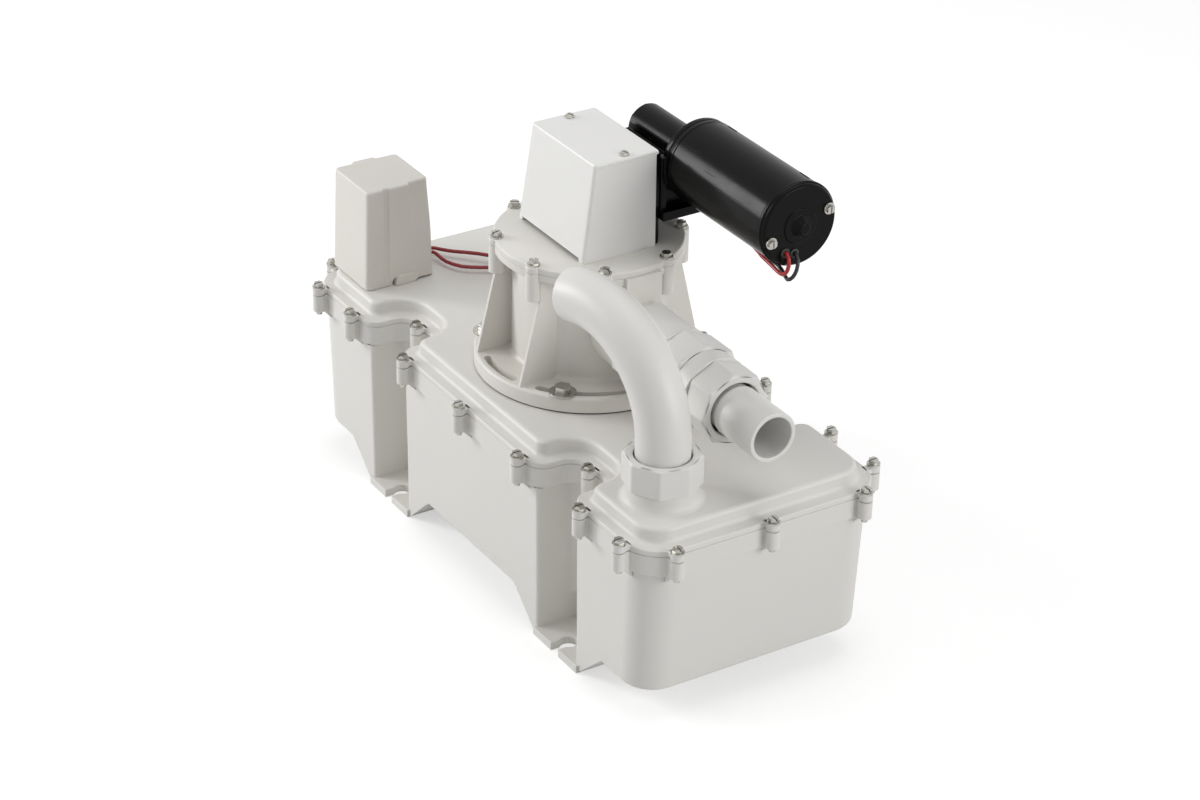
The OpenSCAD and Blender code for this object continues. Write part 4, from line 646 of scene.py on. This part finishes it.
def top_plate():
    """Pump's top plate, with eased edges and the hole for the connecting rod."""
    form, hole_r = Form(), 12
    rows = [(0.4, RIM_TOP), (0, RIM_TOP + 0.4), (0, PLATE_TOP - 1.4), (0.2, PLATE_TOP - 0.6), (0.7, PLATE_TOP - 0.1),
            (1.3, PLATE_TOP)]
    rings = [[(x, y, z) for x, y in plate_outline(inset)] for inset, z in rows]
    hole = []
    for x, y, _ in rings[0]:
        across, along = polar(hole_r, math.degrees(math.atan2(y - PUMP_Y, x)))
        hole.append((across, PUMP_Y + along))
    rings = [[(x, y, RIM_TOP) for x, y in hole]] + rings + [[(x, y, PLATE_TOP) for x, y in hole]]
    form.loft(rings, wrap=True)
    form.make("top_plate_disc", "white_pump", ["top_plate"])


# Inlet pipe and the octagonal fittings

def inlet_bend():
    """Pipe up from the spigot and over in one long bend, bevelled at its open end."""
    form = Form()
    heading, bend_r, sweep, start = math.radians(187.6), 77.7, 105, 201
    ahead = Vector((math.cos(heading), math.sin(heading), 0))
    side, up = Vector((-math.sin(heading), math.cos(heading), 0)), Vector((0, 0, 1))
    path = [(Vector((*INLET, z)), ahead, up) for z in (DECK, 180, 190)]
    for i in range(41):
        a = math.radians(sweep * i / 40)
        centre = Vector((*INLET, start)) + ahead * bend_r * (1 - math.cos(a)) + up * bend_r * math.sin(a)
        path.append((centre, ahead * math.cos(a) - up * math.sin(a), ahead * math.sin(a) + up * math.cos(a)))
    centre, out, along = path[-1]
    path += [(centre + along * 1.2, out, along), (centre + along * 2, out, along)]

    def ring(step, radius):
        middle, across, _ = step
        turns = [2 * math.pi * i / 64 for i in range(64)]
        return [middle + (across * math.cos(t) + side * math.sin(t)) * radius for t in turns]

    outside, outer_lip, inner_lip, bore = 19.8, 19.1, 16.9, 16.4
    rings = [ring(step, outside) for step in path[:-1]] + [ring(path[-1], outer_lip)]
    rings += [ring(path[-1], inner_lip)] + [ring(step, bore) for step in path[-2::-1]]
    form.loft(rings, wrap=True)
    form.make("inlet_pipe_bend", "white_pvc", ["inlet_pipe"])


def fittings():
    """Octagonal nuts and union with eased corners and chamfered ends."""
    union = [(17, 72), (19.8, 72), (19.8, 79), (30.6, 79, 8), (32, 80, 8), (32, 126, 8), (30.8, 127, 8), (25, 127),
             (25, 140), (23, 140), (23, 100), (17, 100)]
    turning_piece("outlet_union_body", "outlet_union", union, along_x(0, *OUTLET), 25)
    nut = [(25.2, 127), (30.8, 127, 8), (32, 128, 8), (32, 154.6, 8), (30.4, 156, 8), (28.8, 156), (21, 156),
           (21, 146), (25.2, 146)]
    turning_piece("outlet_nut_body", "outlet_nut", nut, along_x(0, *OUTLET), 42)
    hose = [(22.65, 171), (27, 171, 8), (28.4, 172, 8), (28.4, 194.6, 8), (27, 196, 8), (25.6, 196), (21.4, 196),
            (20.4, 195), (20.25, 189), (22.65, 189)]
    turning_piece("hose_nut_body", "hose_nut", hose, along_x(0, *OUTLET), 5)
    cap = [(24.5, 170), (27.8, 170, 8), (29, 171, 8), (29, 191.5, 8), (27.6, 193, 8), (26, 193), (22, 193),
           (20.9, 192), (20.9, 189), (24.5, 189)]
    turning_piece("inlet_nut_body", "inlet_nut", cap, Matrix.Translation((*INLET, 0)), 8)


def turning_piece(name, node, profile, place, corner):
    """A fitting whose octagon is turned by corner degrees."""
    form = Form()
    turning(form, place, profile, corner, wrap=True)
    form.make(name, "white_pvc", [node])


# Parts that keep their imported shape

SLOT_NAMES = {row["node"]: row["material_slot"] for row in frame["record"]["subparts"]}
UNBEVELLED = {"switch_spring", "worm", "switch_wire_feed", "switch_wire_return", "motor_lead_red", "motor_lead_black",
              "bellows", "base_seal", "tank_gasket"}
EDGES = {"motor_can": 0.8, "discharge_nipple": 0.9, "gear_housing": 0.8, "base_washers": 0.2, "base_bolts": 0.35}
CLAMPED = {"lid_screws", "top_plate_screws", "cover_screws", "motor_bolts", "bracket_screws"}


def soften(node):
    """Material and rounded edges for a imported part."""
    part = frame["nodes"][node]
    part.data.materials.clear()
    part.data.materials.append(FINISHES[SLOT_NAMES[node]])
    round_edges(part, 0 if node in UNBEVELLED else EDGES.get(node, 0.5) * MM, node in CLAMPED)


tank_walls()
lid()
pump()
top_plate()
drive_cap()
switch_cap()
inlet_bend()
fittings()
REPLACED = {"tank_body", "tank_lid", "pump_housing", "top_plate", "drive_cover", "switch_cover", "inlet_pipe",
            "outlet_union", "outlet_nut", "hose_nut", "inlet_nut"}
for name in frame["nodes"]:
    if name not in REPLACED:
        soften(name)


# Stage

def seen_directly(tree):
    """1 for rays that the camera sees, straight or in a reflection, and 0 for light on the object."""
    path = tree.nodes.new("ShaderNodeLightPath")
    either = tree.nodes.new("ShaderNodeMath")
    either.operation = "MAXIMUM"
    tree.links.new(path.outputs["Is Camera Ray"], either.inputs[0])
    tree.links.new(path.outputs["Is Glossy Ray"], either.inputs[1])
    return either.outputs[0]


def floor():
    """Pale floor that keeps the shadow and reads as white."""
    side, floor_glow = 8, 0.50
    mesh = bpy.data.meshes.new("floor")
    mesh.from_pydata([(-side, -side, 0), (side, -side, 0), (side, side, 0), (-side, side, 0)], [], [(0, 1, 2, 3)])
    ground = bpy.data.objects.new("floor", mesh)
    scene.collection.objects.link(ground)
    f = Finish("floor_white", (0.7, 0.7, 0.7), 0.9, Specular_IOR_Level=0.1, Emission_Color=(1, 1, 1, 1))
    f.set("Emission Strength", Signal(f, seen_directly(f.tree)) * floor_glow)
    mesh.materials.append(f.material)


def white_world():
    """Surround that looks white and lights the object with a third of that."""
    surround_light, surround_look = 0.33, 1.0
    world = bpy.data.worlds.new("studio")
    scene.world = world
    world.use_nodes = True
    tree = world.node_tree
    strength = tree.nodes.new("ShaderNodeMix")
    strength.data_type = "FLOAT"
    tree.links.new(seen_directly(tree), strength.inputs[0])
    strength.inputs[2].default_value = surround_light
    strength.inputs[3].default_value = surround_look
    back = tree.nodes["Background"]
    back.inputs["Color"].default_value = (1, 1, 1, 1)
    tree.links.new(strength.outputs[0], back.inputs["Strength"])


scene.view_settings.view_transform = "Standard"
photo_camera()
floor()
white_world()
softbox("strip", (-2.0, -1.75, 0.95), (0.1, 0, 0.3), 0.5, 1.3, 30)
softbox("front", (-1.3, -2.2, 1.5), (0, 0, 0.15), 1.2, 1.2, 15)
softbox("top", (0.0, 0.3, 2.4), (0, 0, 0.15), 1.6, 1.6, 14)
softbox("side", (2.4, 1.0, 1.0), (0, 0, 0.15), 1.2, 1.2, 26)
